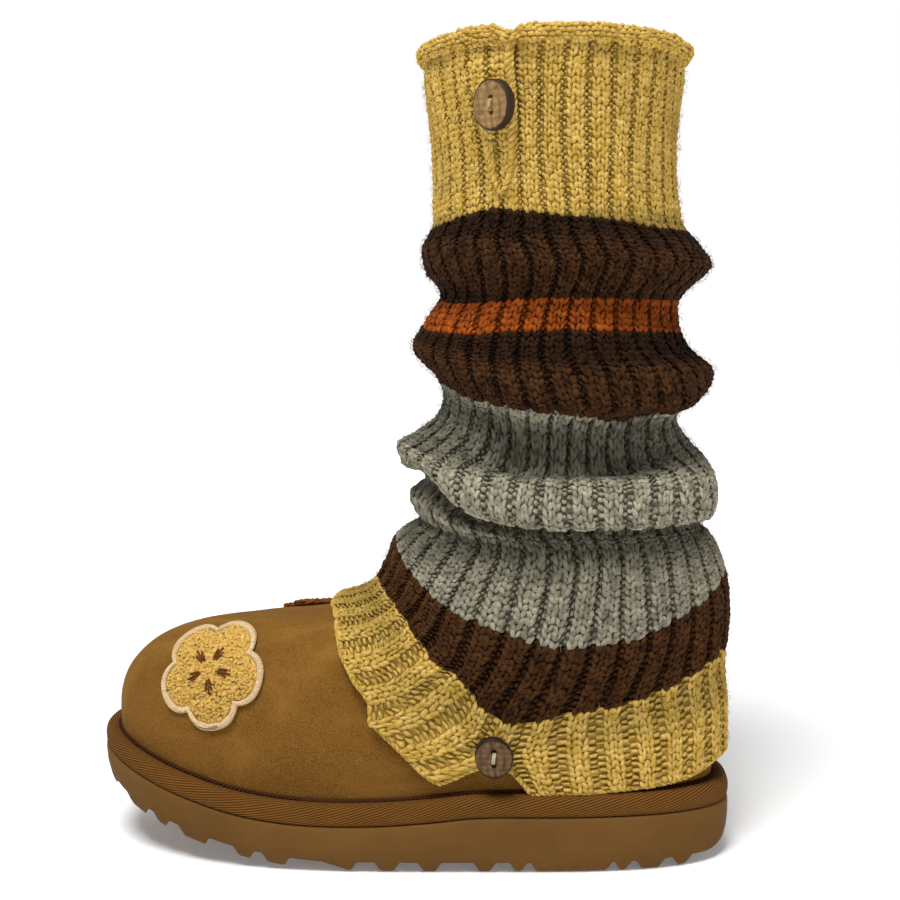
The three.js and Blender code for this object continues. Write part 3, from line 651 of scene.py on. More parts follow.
def build_outsole():
    half = sole_angles()
    angle = both_sides(half)
    edge = SOLE_EDGE["up"][-1]
    rings = []
    for up in SOLE_EDGE["up"]:
        raised = np.full_like(angle, up)
        for _ in range(SOLE_STEPS["passes"]):
            x, y = outline_point(angle, np.interp(raised, SOLE_EDGE["up"], SOLE_EDGE["inset"]))
            raised = mix(raised, groove(x) + up / edge * (edge - groove(x)), SOLE_STEPS["ease"])
        rings.append(np.stack([x, y, sole_floor(x) + raised], -1))
    x, y = outline_point(angle, 0.0)
    rings.append(np.stack([x, y, (rings[-1][:, 2] + sole_top(x)) / 2], -1))
    rings += [on_sole(angle, inset, -drop) for inset, drop in zip(*SOLE_RIM.values())]
    under, over = (across_foot(ring, TREAD["across"]) for ring in (rings[0], rings[-1]))
    x = under[1:-1, :, 0]
    under[1:-1, :, 2] = sole_floor(x) + groove(x, TREAD["widen"][1:-1, None])
    wall = grid_faces(len(rings), len(angle))
    sheet = grid_faces(*under.shape[:2], close_cols=False)
    make_piece("sole_tread", *joined([(np.stack(rings), wall), (under, sheet[:, ::-1]), (over, sheet)]),
               FOAM, "sole_foam", ["outsole"])


# Welt: stuffed tape, with the seam that joins it to the suede
def build_welt():
    angle = even_turn(WELT_STEPS["around"])
    places = np.linspace(0, WELT_SECTION["place"][-1], WELT_STEPS["section"])
    section = [[read(WELT_SECTION, "place", key, at) for key in ("inset", "up")] for at in places]
    points = np.stack([on_sole(angle, inset, SEAT_GAP + up) for inset, up in section])
    along = run_length(points[WELT_STEPS["measured"]]) * MM
    over = np.cumsum(np.linalg.norm(np.diff(points, axis=0, prepend=points[:1]), axis=-1).mean(1)) * MM
    uv = np.stack(np.broadcast_arrays(along[None], over[:, None]), -1).reshape(-1, 2)
    make_piece("welt_tape", points, grid_faces(*points.shape[:2], close_rows=True), TWILL, "twill_tape",
               ["welt"], uv)
    count = WELT_SEAM["count"]
    turn = np.linspace(0, TURN, WELT_SEAM["fine"])
    length = run_length(np.stack(outline_point(turn, WELT_SEAM["inset"]), -1))
    at = np.interp((np.arange(count) + 0.5) / count * length[-1], length, turn)
    lean = WELT_SEAM["lean"] / (length[-1] / TURN)
    paths = [on_sole(at + shift * lean, inset, SEAT_GAP + up) for shift, inset, up in zip(*SEAM_PATH.values())]
    make_piece("welt_seam", *tubes(np.stack(paths, 1), WELT_SEAM["radius"]), SEAM, "twill_tape")


# Upper: suede outside, fleece inside
UPPER_STEPS = {"around": 216, "outside": 64, "inside": 24, "shown": 30, "back": 10}
COLLAR_ROLL = columns("inset up", [(0.6, 1.2), (1.6, 1.6), (2.4, 0.8)])
FLUFF = {"low": 0.02, "high": 0.995, "shown": 0.4, "back": 0.1, "rough": 0.16}
FOOTBED = {"around": 61, "across": 15, "inset": 0.6, "edge": 2, "crown": 4, "round": 0.35, "rough": 0.12}
DENTS = columns("angle level wide high deep", [
    (28, 0.36, 9, 0.05, -0.5), (66, 0.30, 12, 0.035, 0.7), (78, 0.44, 8, 0.06, 0.8),
    (92, 0.25, 10, 0.05, -0.6), (60, 0.56, 7, 0.03, 0.6), (48, 0.22, 14, 0.03, 0.5),
    (-60, 0.33, 12, 0.05, 0.7), (-80, 0.48, 9, 0.06, 0.8), (10, 0.58, 16, 0.02, 0.6),
    (-35, 0.25, 12, 0.03, 0.5), (100, 0.5, 8, 0.05, 0.7),
])


def build_upper():
    angle = even_turn(UPPER_STEPS["around"])

    def rings(inset, levels):
        return np.stack([last_offset(angle, np.full_like(angle, level), -inset) for level in levels])

    a, l = np.meshgrid(angle, np.linspace(0, 1, UPPER_STEPS["outside"]))
    deep, degrees = np.zeros_like(a), signed_degrees(a)
    for at, level, wide, high, depth in zip(*DENTS.values()):
        deep += depth * np.exp(-((degrees - at) / wide) ** 2 - ((l - level) / high) ** 2)
    outside = last_offset(a, l, -deep)
    roll = [rings(inset, [1.0]) + [0, 0, up] for inset, up in zip(*COLLAR_ROLL.values())]
    inside = rings(UPPER_WALL, np.linspace(1, 0, UPPER_STEPS["inside"]))
    inside[-1, :, 2] = sole_top(inside[-1, :, 0]) + SEAT_GAP
    wall = np.concatenate([outside, *roll, inside])
    make_piece("suede_upper", wall, grid_faces(*wall.shape[:2], close_rows=True), SUEDE, "tan_suede", ["upper"])
    ends = FLUFF["high"], FLUFF["low"]
    fluff = rings(UPPER_WALL + FLUFF["shown"], np.linspace(*ends, UPPER_STEPS["shown"]))
    fluff += rng.normal(0, FLUFF["rough"], fluff.shape)
    back = rings(UPPER_WALL + FLUFF["back"], np.linspace(*ends[::-1], UPPER_STEPS["back"]))
    lining = np.concatenate([fluff, back])
    make_piece("fleece_lining", lining, grid_faces(*lining.shape[:2], close_rows=True), LINING,
               "footbed_fleece")


def build_insole():
    angle = both_sides(np.linspace(0, np.pi, FOOTBED["around"]))
    across = np.linspace(0, 1, FOOTBED["across"])
    rim = last_offset(angle, np.zeros_like(angle), -UPPER_WALL - FOOTBED["inset"])
    low = across_foot(rim, across)
    low[..., 2] = sole_top(low[..., 0]) + GAP
    crown = np.minimum(1, 4 * across * (1 - across))[:, None] ** FOOTBED["round"]
    high = low.copy()
    high[..., 2] += FOOTBED["edge"] + FOOTBED["crown"] * crown + rng.normal(0, FOOTBED["rough"], high.shape[:2])
    sheet = grid_faces(*low.shape[:2], close_cols=False)
    strip = grid_faces(2, FOOTBED["around"], close_cols=False)
    sides = [(np.stack([low[0], high[0]]), strip), (np.stack([low[-1], high[-1]]), strip[:, ::-1])]
    bed = joined([(low, sheet[:, ::-1]), (high, sheet), *sides])
    make_piece("fleece_footbed", *bed, LINING, "footbed_fleece", ["insole"])


# Knit shaft: a ribbed cloth of separate stitches over a ground of the same yarn
BANDS = (
    ("knit_hem", 0, 2, "mustard"), ("knit_low_brown", 2, 4, "deep_brown"), ("knit_low_grey", 4, 8.4, "grey"),
    ("knit_roll_grey", 8.4, 13.3, "grey"), ("knit_mid_brown", 13.3, 16.7, "brown"),
    ("knit_orange", 16.7, 18, "orange"), ("knit_top_brown", 18, 21, "brown"),
    ("knit_top_band", 21, 25.3, "mustard"),
)
RIBS = 36
KNIT_COLUMNS = 576
GROUND_COLUMNS = 288
KNIT_ANGLES = 720
ROW_PITCH = 2.5
RIB_PHASE = 0.52
# How far the rib is pulled open, how wide its knit side is, and how deep its purl side lies
STRETCH = {"least": 0.3, "hem": 0.5, "roll": 0.6, "top": 0.15}
KNIT_SHARE = {"closed": 0.8, "open": -0.2, "hem": -0.1}
RIB_DEPTH = {"closed": 2.3, "open": -0.8, "top": -0.5, "hem": -0.4, "ground": -1.0, "bevel": 0.1}
# Stitches: steps along one, rings of its body in shares of its width and in millimetres, and its path
STITCHES = {
    "knit": {"steps": (0.0, 0.2, 0.5, 0.8, 1.0), "body": (0.21, 0.25, 0.21), "rise": (0.55, 0.7, 0.5),
             "sides": 4, "turn": np.pi / 4, "swing": (0.05, 0.37), "climb": (-0.36, 1.55), "lift": (0.05, 0.8)},
    "purl": {"steps": (0.0, 0.3, 0.7, 1.0), "body": (0.42, 0.42), "rise": (0.9, 0.9),
             "sides": 3, "turn": np.pi / 2, "swing": (-0.75, 1.5), "climb": (0.5, 0.3), "lift": (0.3, 0.9)},
}
KNIT_BROAD = 1.35
END_SINK = 0.3
UNEVEN = {"swing": 0.06, "climb": 0.1, "fat": 0.13, "lift": 0.15}
FIBRE = {"across": 0.006, "along": 1.0, "rise": (0.2, 2.3), "foot": 1.2, "radius": 0.09, "per_row": 90,
         "path": ((0, 0), (0.5, 0.8), (1, 1)), "clear": 0.02, "clear_rows": 3}
CHAIN = {"reach": 0.75, "body": (0.25, 0.8, 1.1, 0.8, 0.25), "lean": 0.3, "toward": (0, 1, 0.2), "fat": 0.12}
HEM_CHAIN = {"below": 0.05, "sunk": 1.2, "spacing": 2.6, "radius": 1.0}
FLAP_CHAINS = columns("shift lower fat", [(-0.0016, 0.2, 1.1), (0.0008, 1.8, 1.0)])
FLAP_SLANT = 0.5
FLAP_U = 0.2028
FLAP_TIP = {"u": 0.183, "away": (0, 0.01, 0.02, 0.05), "place": (21.55, 21.9, 22.6, 23.2)}
FLAP_EDGE = columns("u place", [
    (0.2028, 25), (0.2040, 24.2), (0.2040, 23.2), (0.2020, 22.6), (0.1960, 22.05), (0.1890, 21.7),
    (0.1830, 21.55), (0.1770, 21.8), (0.1710, 22.2), (0.1660, 22.7), (0.1640, 23.2),
])
MEASURED = {"every": 15, "steps": 24}
CREASE_FADE = 15
WAVES = {"count": 9, "rates": (2, 11), "climb": (0.4, 2.2), "high": 1.2, "from": 3, "full": 7}
WANDER = columns("size around along start", [(0.0022, 3, 0.11, 0), (0.0016, 8, -0.19, 1)])
CREASES = columns("at wide deep sag from to", [
    (8.6, 0.5, -9.0, 0.0, 40, 185), (8.95, 0.34, -4.0, 0.6, -20, 45), (9.5, 0.55, 2.5, -2.0, 45, 170),
    (10.6, 0.5, 1.4, 0.5, 40, 165), (11.85, 0.5, -6.5, -3.5, 55, 138), (12.6, 0.7, -6.0, 0.0, 55, 134),
    (14.2, 0.6, 2.5, -3.5, 35, 150), (16.2, 0.5, -2.0, 0.0, 0, 185), (20.8, 0.5, -1.6, 0.0, 0, 185),
    (6.6, 0.5, -1.6, 0.0, -20, 60), (9.45, 0.35, 1.4, 0.6, -20, 42),
    (10.0, 0.3, -1.8, 0.0, -20, 42), (10.55, 0.4, 1.9, 1.2, -20, 42),
])
# How far the ends of the bands are drawn up from even rows, in rows, at shares around the shaft
BAND_ENDS = (0, 2, 4, 13.3, 16.7, 18, 21, 25)
DRAWN = columns("u hem low neck mid orange top", [
    (0.00, 1.2, 0.6, 1.8, -2.8, -2.2, -2.0), (0.04, 1.4, 0.8, 2.4, -3.1, -2.4, -2.0),
    (0.08, 1.8, 1.0, 2.8, -3.1, -2.3, -1.6), (0.12, 2.4, 0.9, 2.9, -2.8, -2.0, -0.7),
    (0.16, 3.0, 0.9, 2.7, -2.0, -1.5, 0.2), (0.18, 2.4, 1.2, 2.2, -1.3, -1.2, 0.3),
    (0.20, -0.1, 1.2, 1.7, -1.0, -0.9, -0.1), (0.22, -2.2, 0.9, 1.2, -0.8, -0.7, -0.4),
    (0.24, -2.7, 0.7, 0.8, -0.6, -0.6, -0.8), (0.26, -1.7, 0.6, 0.0, -0.4, -0.6, -1.1),
    (0.28, -0.4, 1.1, -0.6, -0.5, -0.6, -1.1), (0.30, 0.2, 1.4, -1.2, -0.7, -0.6, -1.3),
    (0.34, 0.4, 1.2, -1.8, -0.7, -0.6, -1.9), (0.38, 0.8, 1.6, -0.5, -0.7, -0.6, -2.6),
    (0.42, 1.5, 1.2, 0.4, -0.7, -0.5, -2.9), (0.46, 1.7, 1.0, 0.5, -0.6, -0.4, -2.9),
    (0.54, 1.2, 0.6, 0.4, -0.5, -0.4, -2.2), (0.70, 0.2, 0.2, 0.2, -0.6, -0.6, -1.4),
    (0.86, 0.4, 0.2, 0.8, -1.4, -1.2, -1.4), (1.00, 1.2, 0.6, 1.8, -2.8, -2.2, -2.0),
])
# How far the columns on both sides of the slit are drawn apart at the hem, and over how many rows that fades
SPREAD = columns("u shift rows", [
    (0.00, -0.022, 18), (0.06, -0.032, 20), (0.12, -0.036, 20), (0.18, -0.034, 15), (0.22, -0.030, 10),
    (0.2498, -0.0256, 7.05), (0.2578, 0.030, 7.05), (0.28, 0.034, 9), (0.33, 0.036, 14), (0.40, 0.026, 16),
    (0.46, 0.012, 16), (0.54, 0, 16), (0.80, 0, 16), (0.92, -0.010, 18), (1.00, -0.022, 18),
])
SLIT_U, SLIT_EDGE, SLIT_ROWS = 0.2538, 0.004, 8
# Light lost under cloth that hangs out, by its mean reach over the rows above, in millimetres
OVERHANG = {"window": 34, "out": (-4, 0, 2, 5, 9), "light": (1.14, 1.0, 0.78, 0.56, 0.44)}
LOW_SHADE = {"place": (3.8, 5.0, 8.2, 9.0), "light": (1, 0.9, 0.84, 1)}
# Where the roll still stays high before it drops to its level along the side
ROLL_LIFT = {"at": 34, "span": 17, "place": 9.2, "wide": 1.0, "rise": 7.5}


def grid_normal(grid):
    around = np.roll(grid, -1, 1) - np.roll(grid, 1, 1)
    return unit(np.cross(around, np.gradient(grid, axis=0)))


def knit_grid():
    """The shaft's outer surface at even stitches, as half rows by columns.

    Gives its points and normals, the angle of each, and the place of each half row in the folds.
    """
    angle = np.arange(KNIT_ANGLES + 1) / KNIT_ANGLES * TURN
    controls = knit_controls(angle)
    last = controls.shape[1] - 1
    fine = np.linspace(0, 1, last * MEASURED["steps"] + 1)
    lines = centripetal(controls[::MEASURED["every"]], fine)
    steps = np.linalg.norm(np.diff(lines, axis=1), axis=-1).mean(0)
    length = np.concatenate([[0], np.cumsum(steps)])
    rows = int(length[-1] / ROW_PITCH)
    share = np.interp(np.linspace(0, length[-1], 2 * rows + 1), length, fine)
    points = centripetal(controls, share).transpose(1, 0, 2)
    half, middle = KNIT_COLUMNS // 2, KNIT_ANGLES // 2
    grid = np.empty((len(share), KNIT_COLUMNS, 3))
    turned = np.empty((len(share), KNIT_COLUMNS))
    for row, line in enumerate(points):
        for start, part in ((0, slice(0, middle + 1)), (half, slice(middle, None))):
            piece, turn = line[part], angle[part]
            run = run_length(piece)
            at = np.arange(half) / half * run[-1]
            for axis in range(3):
                grid[row, start:start + half, axis] = np.interp(at, run, piece[:, axis])
            turned[row, start:start + half] = np.interp(at, run, turn)
    place = share * last
    normal = grid_normal(grid)
    side = np.abs(signed_degrees(turned))
    for at, wide, deep, sag, start, stop in zip(*CREASES.values()):
        reach = smooth(start - CREASE_FADE, start + CREASE_FADE, side)
        reach = reach * (1 - smooth(stop - CREASE_FADE, stop + CREASE_FADE, side))
        push = np.exp(-((place - at) / wide) ** 2)[:, None] * reach
        grid = grid + normal * (deep * push)[..., None]
        grid[..., 2] += sag * push
    lifted = np.exp(-((place - ROLL_LIFT["place"]) / ROLL_LIFT["wide"]) ** 2)[:, None]
    grid[..., 2] += ROLL_LIFT["rise"] * lifted * np.exp(-((side - ROLL_LIFT["at"]) / ROLL_LIFT["span"]) ** 2)
    wave = np.zeros_like(side)
    for _ in range(WAVES["count"]):
        rate = rng.integers(*WAVES["rates"])
        climb = place[:, None] * rng.uniform(*WAVES["climb"])
        wave += np.sin(turned * rate + climb + rng.uniform(0, TURN)) / WAVES["count"]
    high = WAVES["high"] * smooth(WAVES["from"], WAVES["full"], place)[:, None]
    grid = grid + normal * (wave * high)[..., None]
    return grid, grid_normal(grid), turned, place


def drawn_rows(place):
    """The table of drawn rows at every half row and column of the grid."""
    u = np.arange(KNIT_COLUMNS) / KNIT_COLUMNS
    still = np.zeros(KNIT_COLUMNS)
    ends = np.stack([still, *(read(DRAWN, "u", band, u) for band in list(DRAWN)[1:]), still])
    lines = np.interp(BAND_ENDS, place, np.arange(len(place)))
    at = np.interp(np.arange(len(place)), lines, np.arange(len(BAND_ENDS)))
    below = np.minimum(at.astype(int), len(BAND_ENDS) - 2)
    return mix(ends[below], ends[below + 1], (at - below)[:, None])


def fold_light(grid, normal):
    """How much light is left at each place of the grid, from how far the cloth above it hangs out."""
    above = int(OVERHANG["window"] / ROW_PITCH * 2)
    padded = np.concatenate([grid, np.repeat(grid[-1:], above, 0)])
    total = np.cumsum(padded, 0)
    mean = (total[above:] - total[:-above]) / above
    return np.interp(((mean - grid) * normal).sum(-1), OVERHANG["out"], OVERHANG["light"])


GRID, GRID_NORMAL, GRID_ANGLE, GRID_PLACE = knit_grid()
GRID_DRAWN = drawn_rows(GRID_PLACE)
GRID_LIGHT = fold_light(GRID, GRID_NORMAL)
GRID_LIGHT *= np.interp(GRID_PLACE, LOW_SHADE["place"], LOW_SHADE["light"])[:, None]


def on_grid(field, column, row):
    """A field of the grid, between its columns and rows."""
    line = np.clip(row * 2, 0, len(GRID) - 1.001)
    c0, r0 = column.astype(int) % KNIT_COLUMNS, line.astype(int)
    c1, r1 = (c0 + 1) % KNIT_COLUMNS, r0 + 1
    extra = (1,) * (field.ndim - 2)
    fc, fr = ((a % 1).reshape(a.shape + extra) for a in (column, line))
    return mix(mix(field[r0, c0], field[r0, c1], fc), mix(field[r1, c0], field[r1, c1], fc), fr)


def spread(u, row):
    """The shift of a column at a row near the hem, as a share of the turn."""
    left = np.maximum(0, 1 - row / read(SPREAD, "u", "rows", u))
    return read(SPREAD, "u", "shift", u) * left ** 1.2


def one_side(u, centre, row):
    """Keeps the ends of a stitch or hair by the slit on its own side of it."""
    kept = np.where(centre < SLIT_U, np.minimum(u, SLIT_U - SLIT_EDGE), np.maximum(u, SLIT_U + SLIT_EDGE))
    return np.where(row < SLIT_ROWS, kept, u)


def on_knit(u, row, height):
    """Points at a share u around the shaft, a stitch row and a height above its outer surface."""
    u, row = np.broadcast_arrays(np.asarray(u, float), np.asarray(row, float))
    wander = sum(size * np.sin(around * TURN * u + along * row + start)
                 for size, around, along, start in zip(*WANDER.values()))
    column = ((u + wander * smooth(2, 12, row) + spread(u % 1, row)) % 1) * KNIT_COLUMNS
    row = row + on_grid(GRID_DRAWN, column, row)
    return on_grid(GRID, column, row) + on_grid(GRID_NORMAL, column, row) * np.asarray(height)[..., None]


def light_at(u, row):
    column = (u + spread(u % 1, row)) % 1 * KNIT_COLUMNS
    return on_grid(GRID_LIGHT, column, row + on_grid(GRID_DRAWN, column, row))


def row_place(row):
    return np.interp(np.asarray(row) * 2, np.arange(len(GRID)), GRID_PLACE)


def place_row(place):
    return np.interp(place, GRID_PLACE, np.arange(len(GRID)) / 2)


def hem_row(u):
    """The first row of the cloth: the hem, and higher up in the slit under the lower button."""
    level = read(COVER_ROWS, "row", "low", 1.0) - read(HEM, "turn", "level", SLIT["at"])
    u = np.asarray(u) % 1
    row = np.zeros_like(u)
    for _ in range(14):
        degrees = on_grid(GRID_ANGLE, (u + spread(u, row)) % 1 * KNIT_COLUMNS, row) / DEGREE
        half = np.where(degrees < SLIT["at"], SLIT["front"], SLIT["back"])
        rise = SLIT["rise"] * np.maximum(0, 1 - np.abs(degrees - SLIT["at"]) / half)
        row = mix(row, place_row(rise / level / (COVER_STEPS[1] - COVER_STEPS[0])), 0.7)
    return row


def stretch(row):
    """How far the rib is pulled open: a little at the top band, more on the roll and the hem."""
    place = row_place(row)
    opened = STRETCH["least"] + STRETCH["hem"] * (1 - smooth(2, 4.5, place))
    opened = opened + STRETCH["roll"] * np.exp(-((place - 10) / 1.1) ** 2)
    return np.clip(opened + STRETCH["top"] * smooth(20, 22, place), 0, 1)


def knit_share(row):
    """Share of a rib that its knit stitches take."""
    at_hem = 1 - smooth(1.5, 3, row_place(row))
    return KNIT_SHARE["closed"] + KNIT_SHARE["open"] * stretch(row) + KNIT_SHARE["hem"] * at_hem


def rib_depth(row):
    place = row_place(row)
    flatter = RIB_DEPTH["top"] * smooth(20.6, 21.4, place) + RIB_DEPTH["hem"] * (1 - smooth(1.5, 2.5, place))
    return (RIB_DEPTH["closed"] + RIB_DEPTH["open"] * stretch(row)) * (1 + flatter)


def rib_height(u, row):
    """Height of the ground: crests under the knit stitches, troughs under the purl ones."""
    place = np.abs((np.asarray(u) * RIBS + RIB_PHASE) % 1 - 0.5)
    half, bevel = knit_share(row) / 2, RIB_DEPTH["bevel"]
    return RIB_DEPTH["ground"] - rib_depth(row) * smooth(half - bevel, half + bevel, place)


def flap_rise(u, row):
    """The buttoned end of the top band lies over the other end, down to a point under the button."""
    u = np.asarray(u) % 1
    past = (FLAP_U - u) * TURN
    over, beside = 1 - smooth(0, FLAP["fade"], past), 1 - smooth(0, FLAP["step"], -past)
    lies = np.where(past >= 0, over, FLAP["sink"] * beside)
    point = np.interp(np.abs(u - FLAP_TIP["u"]), FLAP_TIP["away"], FLAP_TIP["place"])
    return FLAP["rise"] * lies * smooth(point - 0.2, point + 0.3, row_place(row))


def stitch_field(first, last):
    """Spindles of all knit and purl stitches in a run of rows."""
    rows = np.arange(first, last)
    parts = []
    rib = (np.arange(RIBS) + 0.5 - RIB_PHASE) / RIBS
    for kind, shape in STITCHES.items():
        r, c, side = (a.ravel() for a in np.meshgrid(rows, np.arange(RIBS), [-1, 1], indexing="ij"))
        t, body, rise = (np.array(shape[key]) for key in ("steps", "body", "rise"))
        (swing0, swing1), (climb0, climb1), (lift0, lift1) = (shape[key] for key in ("swing", "climb", "lift"))
        turn = even_turn(shape["sides"]) + shape["turn"]
        share = knit_share(r)
        if kind == "knit":
            wide = share / 2 / RIBS
            centre = rib[c] + side * wide / 2
            r, wide, centre = (np.repeat(a, 2) for a in (r, wide, centre))
            leg = np.tile([-1, 1], len(side))
            swing = leg[:, None] * (swing0 + swing1 * t ** 0.9)[None]
            climb = (climb0 + climb1 * t)[None]
            lift = (lift0 + lift1 * np.sin(np.pi * (0.08 + 0.8 * t)))[None]
        else:
            wide = (1 - share) / 2 / RIBS
            centre = rib[c] + 0.5 / RIBS + side * wide / 2
            swing = (swing0 + swing1 * t)[None] * np.ones((len(r), 1))
            climb = climb0 + climb1 * np.sin(np.pi * t)[None] * side[:, None]
            lift = (lift0 + lift1 * np.sin(np.pi * t))[None]
        kept = r >= hem_row(centre) - 0.2
        r, wide, centre = r[kept], wide[kept], centre[kept]
        swing, climb = swing[kept], np.broadcast_to(climb, (len(kept), len(t)))[kept]
        count = len(r)
        jitter = rng.normal(0, 1, (4, count, 1))
        swing = swing + UNEVEN["swing"] * jitter[0]
        climb = climb + UNEVEN["climb"] * jitter[1] + r[:, None]
        fat = 1 + UNEVEN["fat"] * jitter[2]
        u = one_side(centre[:, None] + swing * wide[:, None], centre[:, None], r[:, None])
        at_row = np.broadcast_to(r[:, None], u.shape)
        height = rib_height(u, at_row) + lift + UNEVEN["lift"] * jitter[3] + flap_rise(u, at_row)
        across = body[None, :, None] * np.cos(turn) * fat[..., None]
        du, dr = (across * wide[:, None, None] * KNIT_BROAD, 0.0) if kind == "knit" else (0.0, across)
        inner = slice(1, -1)
        ring_h = height[:, inner, None] + rise[None, :, None] * np.sin(turn) * fat[..., None]
        ring_u = one_side(u[:, inner, None] + du, centre[:, None, None], r[:, None, None])
        rings = on_knit(ring_u, climb[:, inner, None] + dr, ring_h).reshape(count, -1, 3)
        ends = on_knit(u[:, [0, -1]], climb[:, [0, -1]], height[:, [0, -1]] - END_SINK)
        points = np.concatenate([rings, ends], 1)
        light = np.repeat(light_at(centre, r), points.shape[1])
        parts.append((points, spindle_faces(count, len(body), shape["sides"]), light))
    return parts


def ground_cloth(first, last):
    """Closed strip of cloth under the stitches of a run of rows, and how many of its faces lie outside."""
    u = np.arange(GROUND_COLUMNS) / GROUND_COLUMNS
    rows = np.arange(first, last + 1)
    few = np.unique(np.append(rows[::2], rows[-1]))[::-1]

    def lay(lines):
        r, a = np.meshgrid(lines, u, indexing="ij")
        begin = hem_row(a) if first == 0 else first
        return a, begin + (last - begin) * (r - first) / (last - first)

    a, r = lay(rows)
    outside = on_knit(a, r, rib_height(a, r) + flap_rise(a, r))
    light = light_at(a, r).ravel()
    a, r = lay(few)
    inside = on_knit(a, r, np.full(r.shape, 0.15 - KNIT_WALL))
    both = np.concatenate([outside, inside])
    faces = grid_faces(len(both), GROUND_COLUMNS, close_rows=True)
    return (both, faces, np.concatenate([light, np.ones(a.size)])), (len(rows) - 1) * GROUND_COLUMNS


def chain(line, spacing, radius, slant=0.35):
    """Overlapping stitches along an edge of the cloth, given as a line of points."""
    run = run_length(line)
    count = int(run[-1] / spacing)
    at = (np.arange(count) + 0.5) * spacing
    steps = len(CHAIN["body"])
    span = at[:, None] + np.linspace(-CHAIN["reach"], CHAIN["reach"], steps) * spacing
    paths = np.stack([np.interp(span, run, line[:, axis]) for axis in range(3)], -1)
    along = unit(paths[:, -1] - paths[:, 0])
    lean = unit(np.cross(along, rng.normal(0, CHAIN["lean"], (count, 3)) + CHAIN["toward"]))
    paths = paths + lean[:, None] * (np.linspace(-1, 1, steps) * slant * spacing)[None, :, None]
    size = radius * np.array(CHAIN["body"]) * (1 + CHAIN["fat"] * rng.normal(0, 1, (count, 1)))
    points, faces = tubes(paths, size, 4)
    return points, faces, np.ones(len(points))


def loose_fibres(first, last, count):
    """Fine hairs of the yarn that stand off the stitches: thin three-sided needles, bent in the middle."""
    u, row = rng.uniform(0, 1, count), rng.uniform(first + 0.5, last - 0.5, count)
    clear = (np.abs(u - SLIT_U) > FIBRE["clear"]) | (row > SLIT_ROWS + FIBRE["clear_rows"])
    kept = (row > hem_row(u) + 0.5) & clear
    u, row = u[kept], row[kept]
    count = len(u)
    reach = rng.normal(0, 1, (2, count)) * np.array([[FIBRE["across"]], [FIBRE["along"]]])
    rise = rng.uniform(*FIBRE["rise"], count)
    base = rib_height(u, row) + flap_rise(u, row) + FIBRE["foot"]
    ends = [on_knit(u + t * reach[0], row + t * reach[1], base + high * rise) for t, high in FIBRE["path"]]
    along = unit(ends[2] - ends[0])
    across = unit(np.cross(along, rng.normal(0, 1, (count, 3))))
    over = np.cross(along, across)
    turn = even_turn(3)[:, None]
    ring = ends[1][:, None] + FIBRE["radius"] * (across[:, None] * np.cos(turn) + over[:, None] * np.sin(turn))
    points = np.concatenate([ring, ends[0][:, None], ends[2][:, None]], 1)
    faces = np.array([(1, 0, 3), (2, 1, 3), (0, 2, 3), (0, 1, 4), (1, 2, 4), (2, 0, 4)])
    starts = np.repeat(np.arange(count) * 5, len(faces))[:, None]
    return points, starts + np.tile(faces, (count, 1)), np.repeat(light_at(u, row), 5)


def edge_stitches(name):
    """Chains of stitches along the free edges of a band: the hem with its slit, or the flap's edge."""
    if name == "knit_hem":
        u = np.linspace(0, 1, 4001)
        line = on_knit(u, hem_row(u) - HEM_CHAIN["below"], -HEM_CHAIN["sunk"])
        return [chain(line, HEM_CHAIN["spacing"], HEM_CHAIN["radius"])]
    if name != "knit_top_band":
        return []
    corner = np.arange(len(FLAP_EDGE["u"]))
    along = np.linspace(0, corner[-1], 240)
    edge, place = (np.interp(along, corner, FLAP_EDGE[key]) for key in ("u", "place"))
    row = place_row(place)
    rise = flap_rise(np.minimum(edge, FLAP_U - 0.001), row + 1)
    return [chain(on_knit(edge + shift, row, rise - lower), ROW_PITCH, fat, FLAP_SLANT)
            for shift, lower, fat in zip(*FLAP_CHAINS.values())]


def build_knit():
    for name, start, stop, color in BANDS:
        first, last = (int(np.searchsorted(GRID_PLACE[::2], edge)) for edge in (start, stop))
        ground, shaded = ground_cloth(first, last)
        parts = [ground, *stitch_field(first, last)]
        parts.append(loose_fibres(first, last, FIBRE["per_row"] * (last - first)))
        parts += edge_stitches(name)
        light = np.concatenate([part[2] for part in parts])
        # The ground's outer faces take the dimmed ground yarn: painted shade in the rib valleys.
        make_piece(name, *joined(parts), YARNS[color], "rib_knit", ["knit_shaft"], chosen=np.ones(shaded),
                   light=light)


# Rolled rim of the top band, whose stitches curl outwards
RIM = {"place": 25.0, "radius": 2.8, "core": 2.8 - 0.6, "out": 0.2, "up": 4.6, "climb": 0.4,
       "notch": 2.4, "notch_wide": 0.008}
RIM_STEPS = {"around": 256, "sides": 14, "columns": RIBS * 4, "loops": 10}
RIM_STITCH = {"long": 1.15, "bow": 0.22, "lift": 0.75, "sunk": 0.5, "body": (0.35, 0.85, 0.85, 0.35)}
RIM_UNEVEN = {"along": 0.0008, "turn": 0.13, "lift": 0.25}


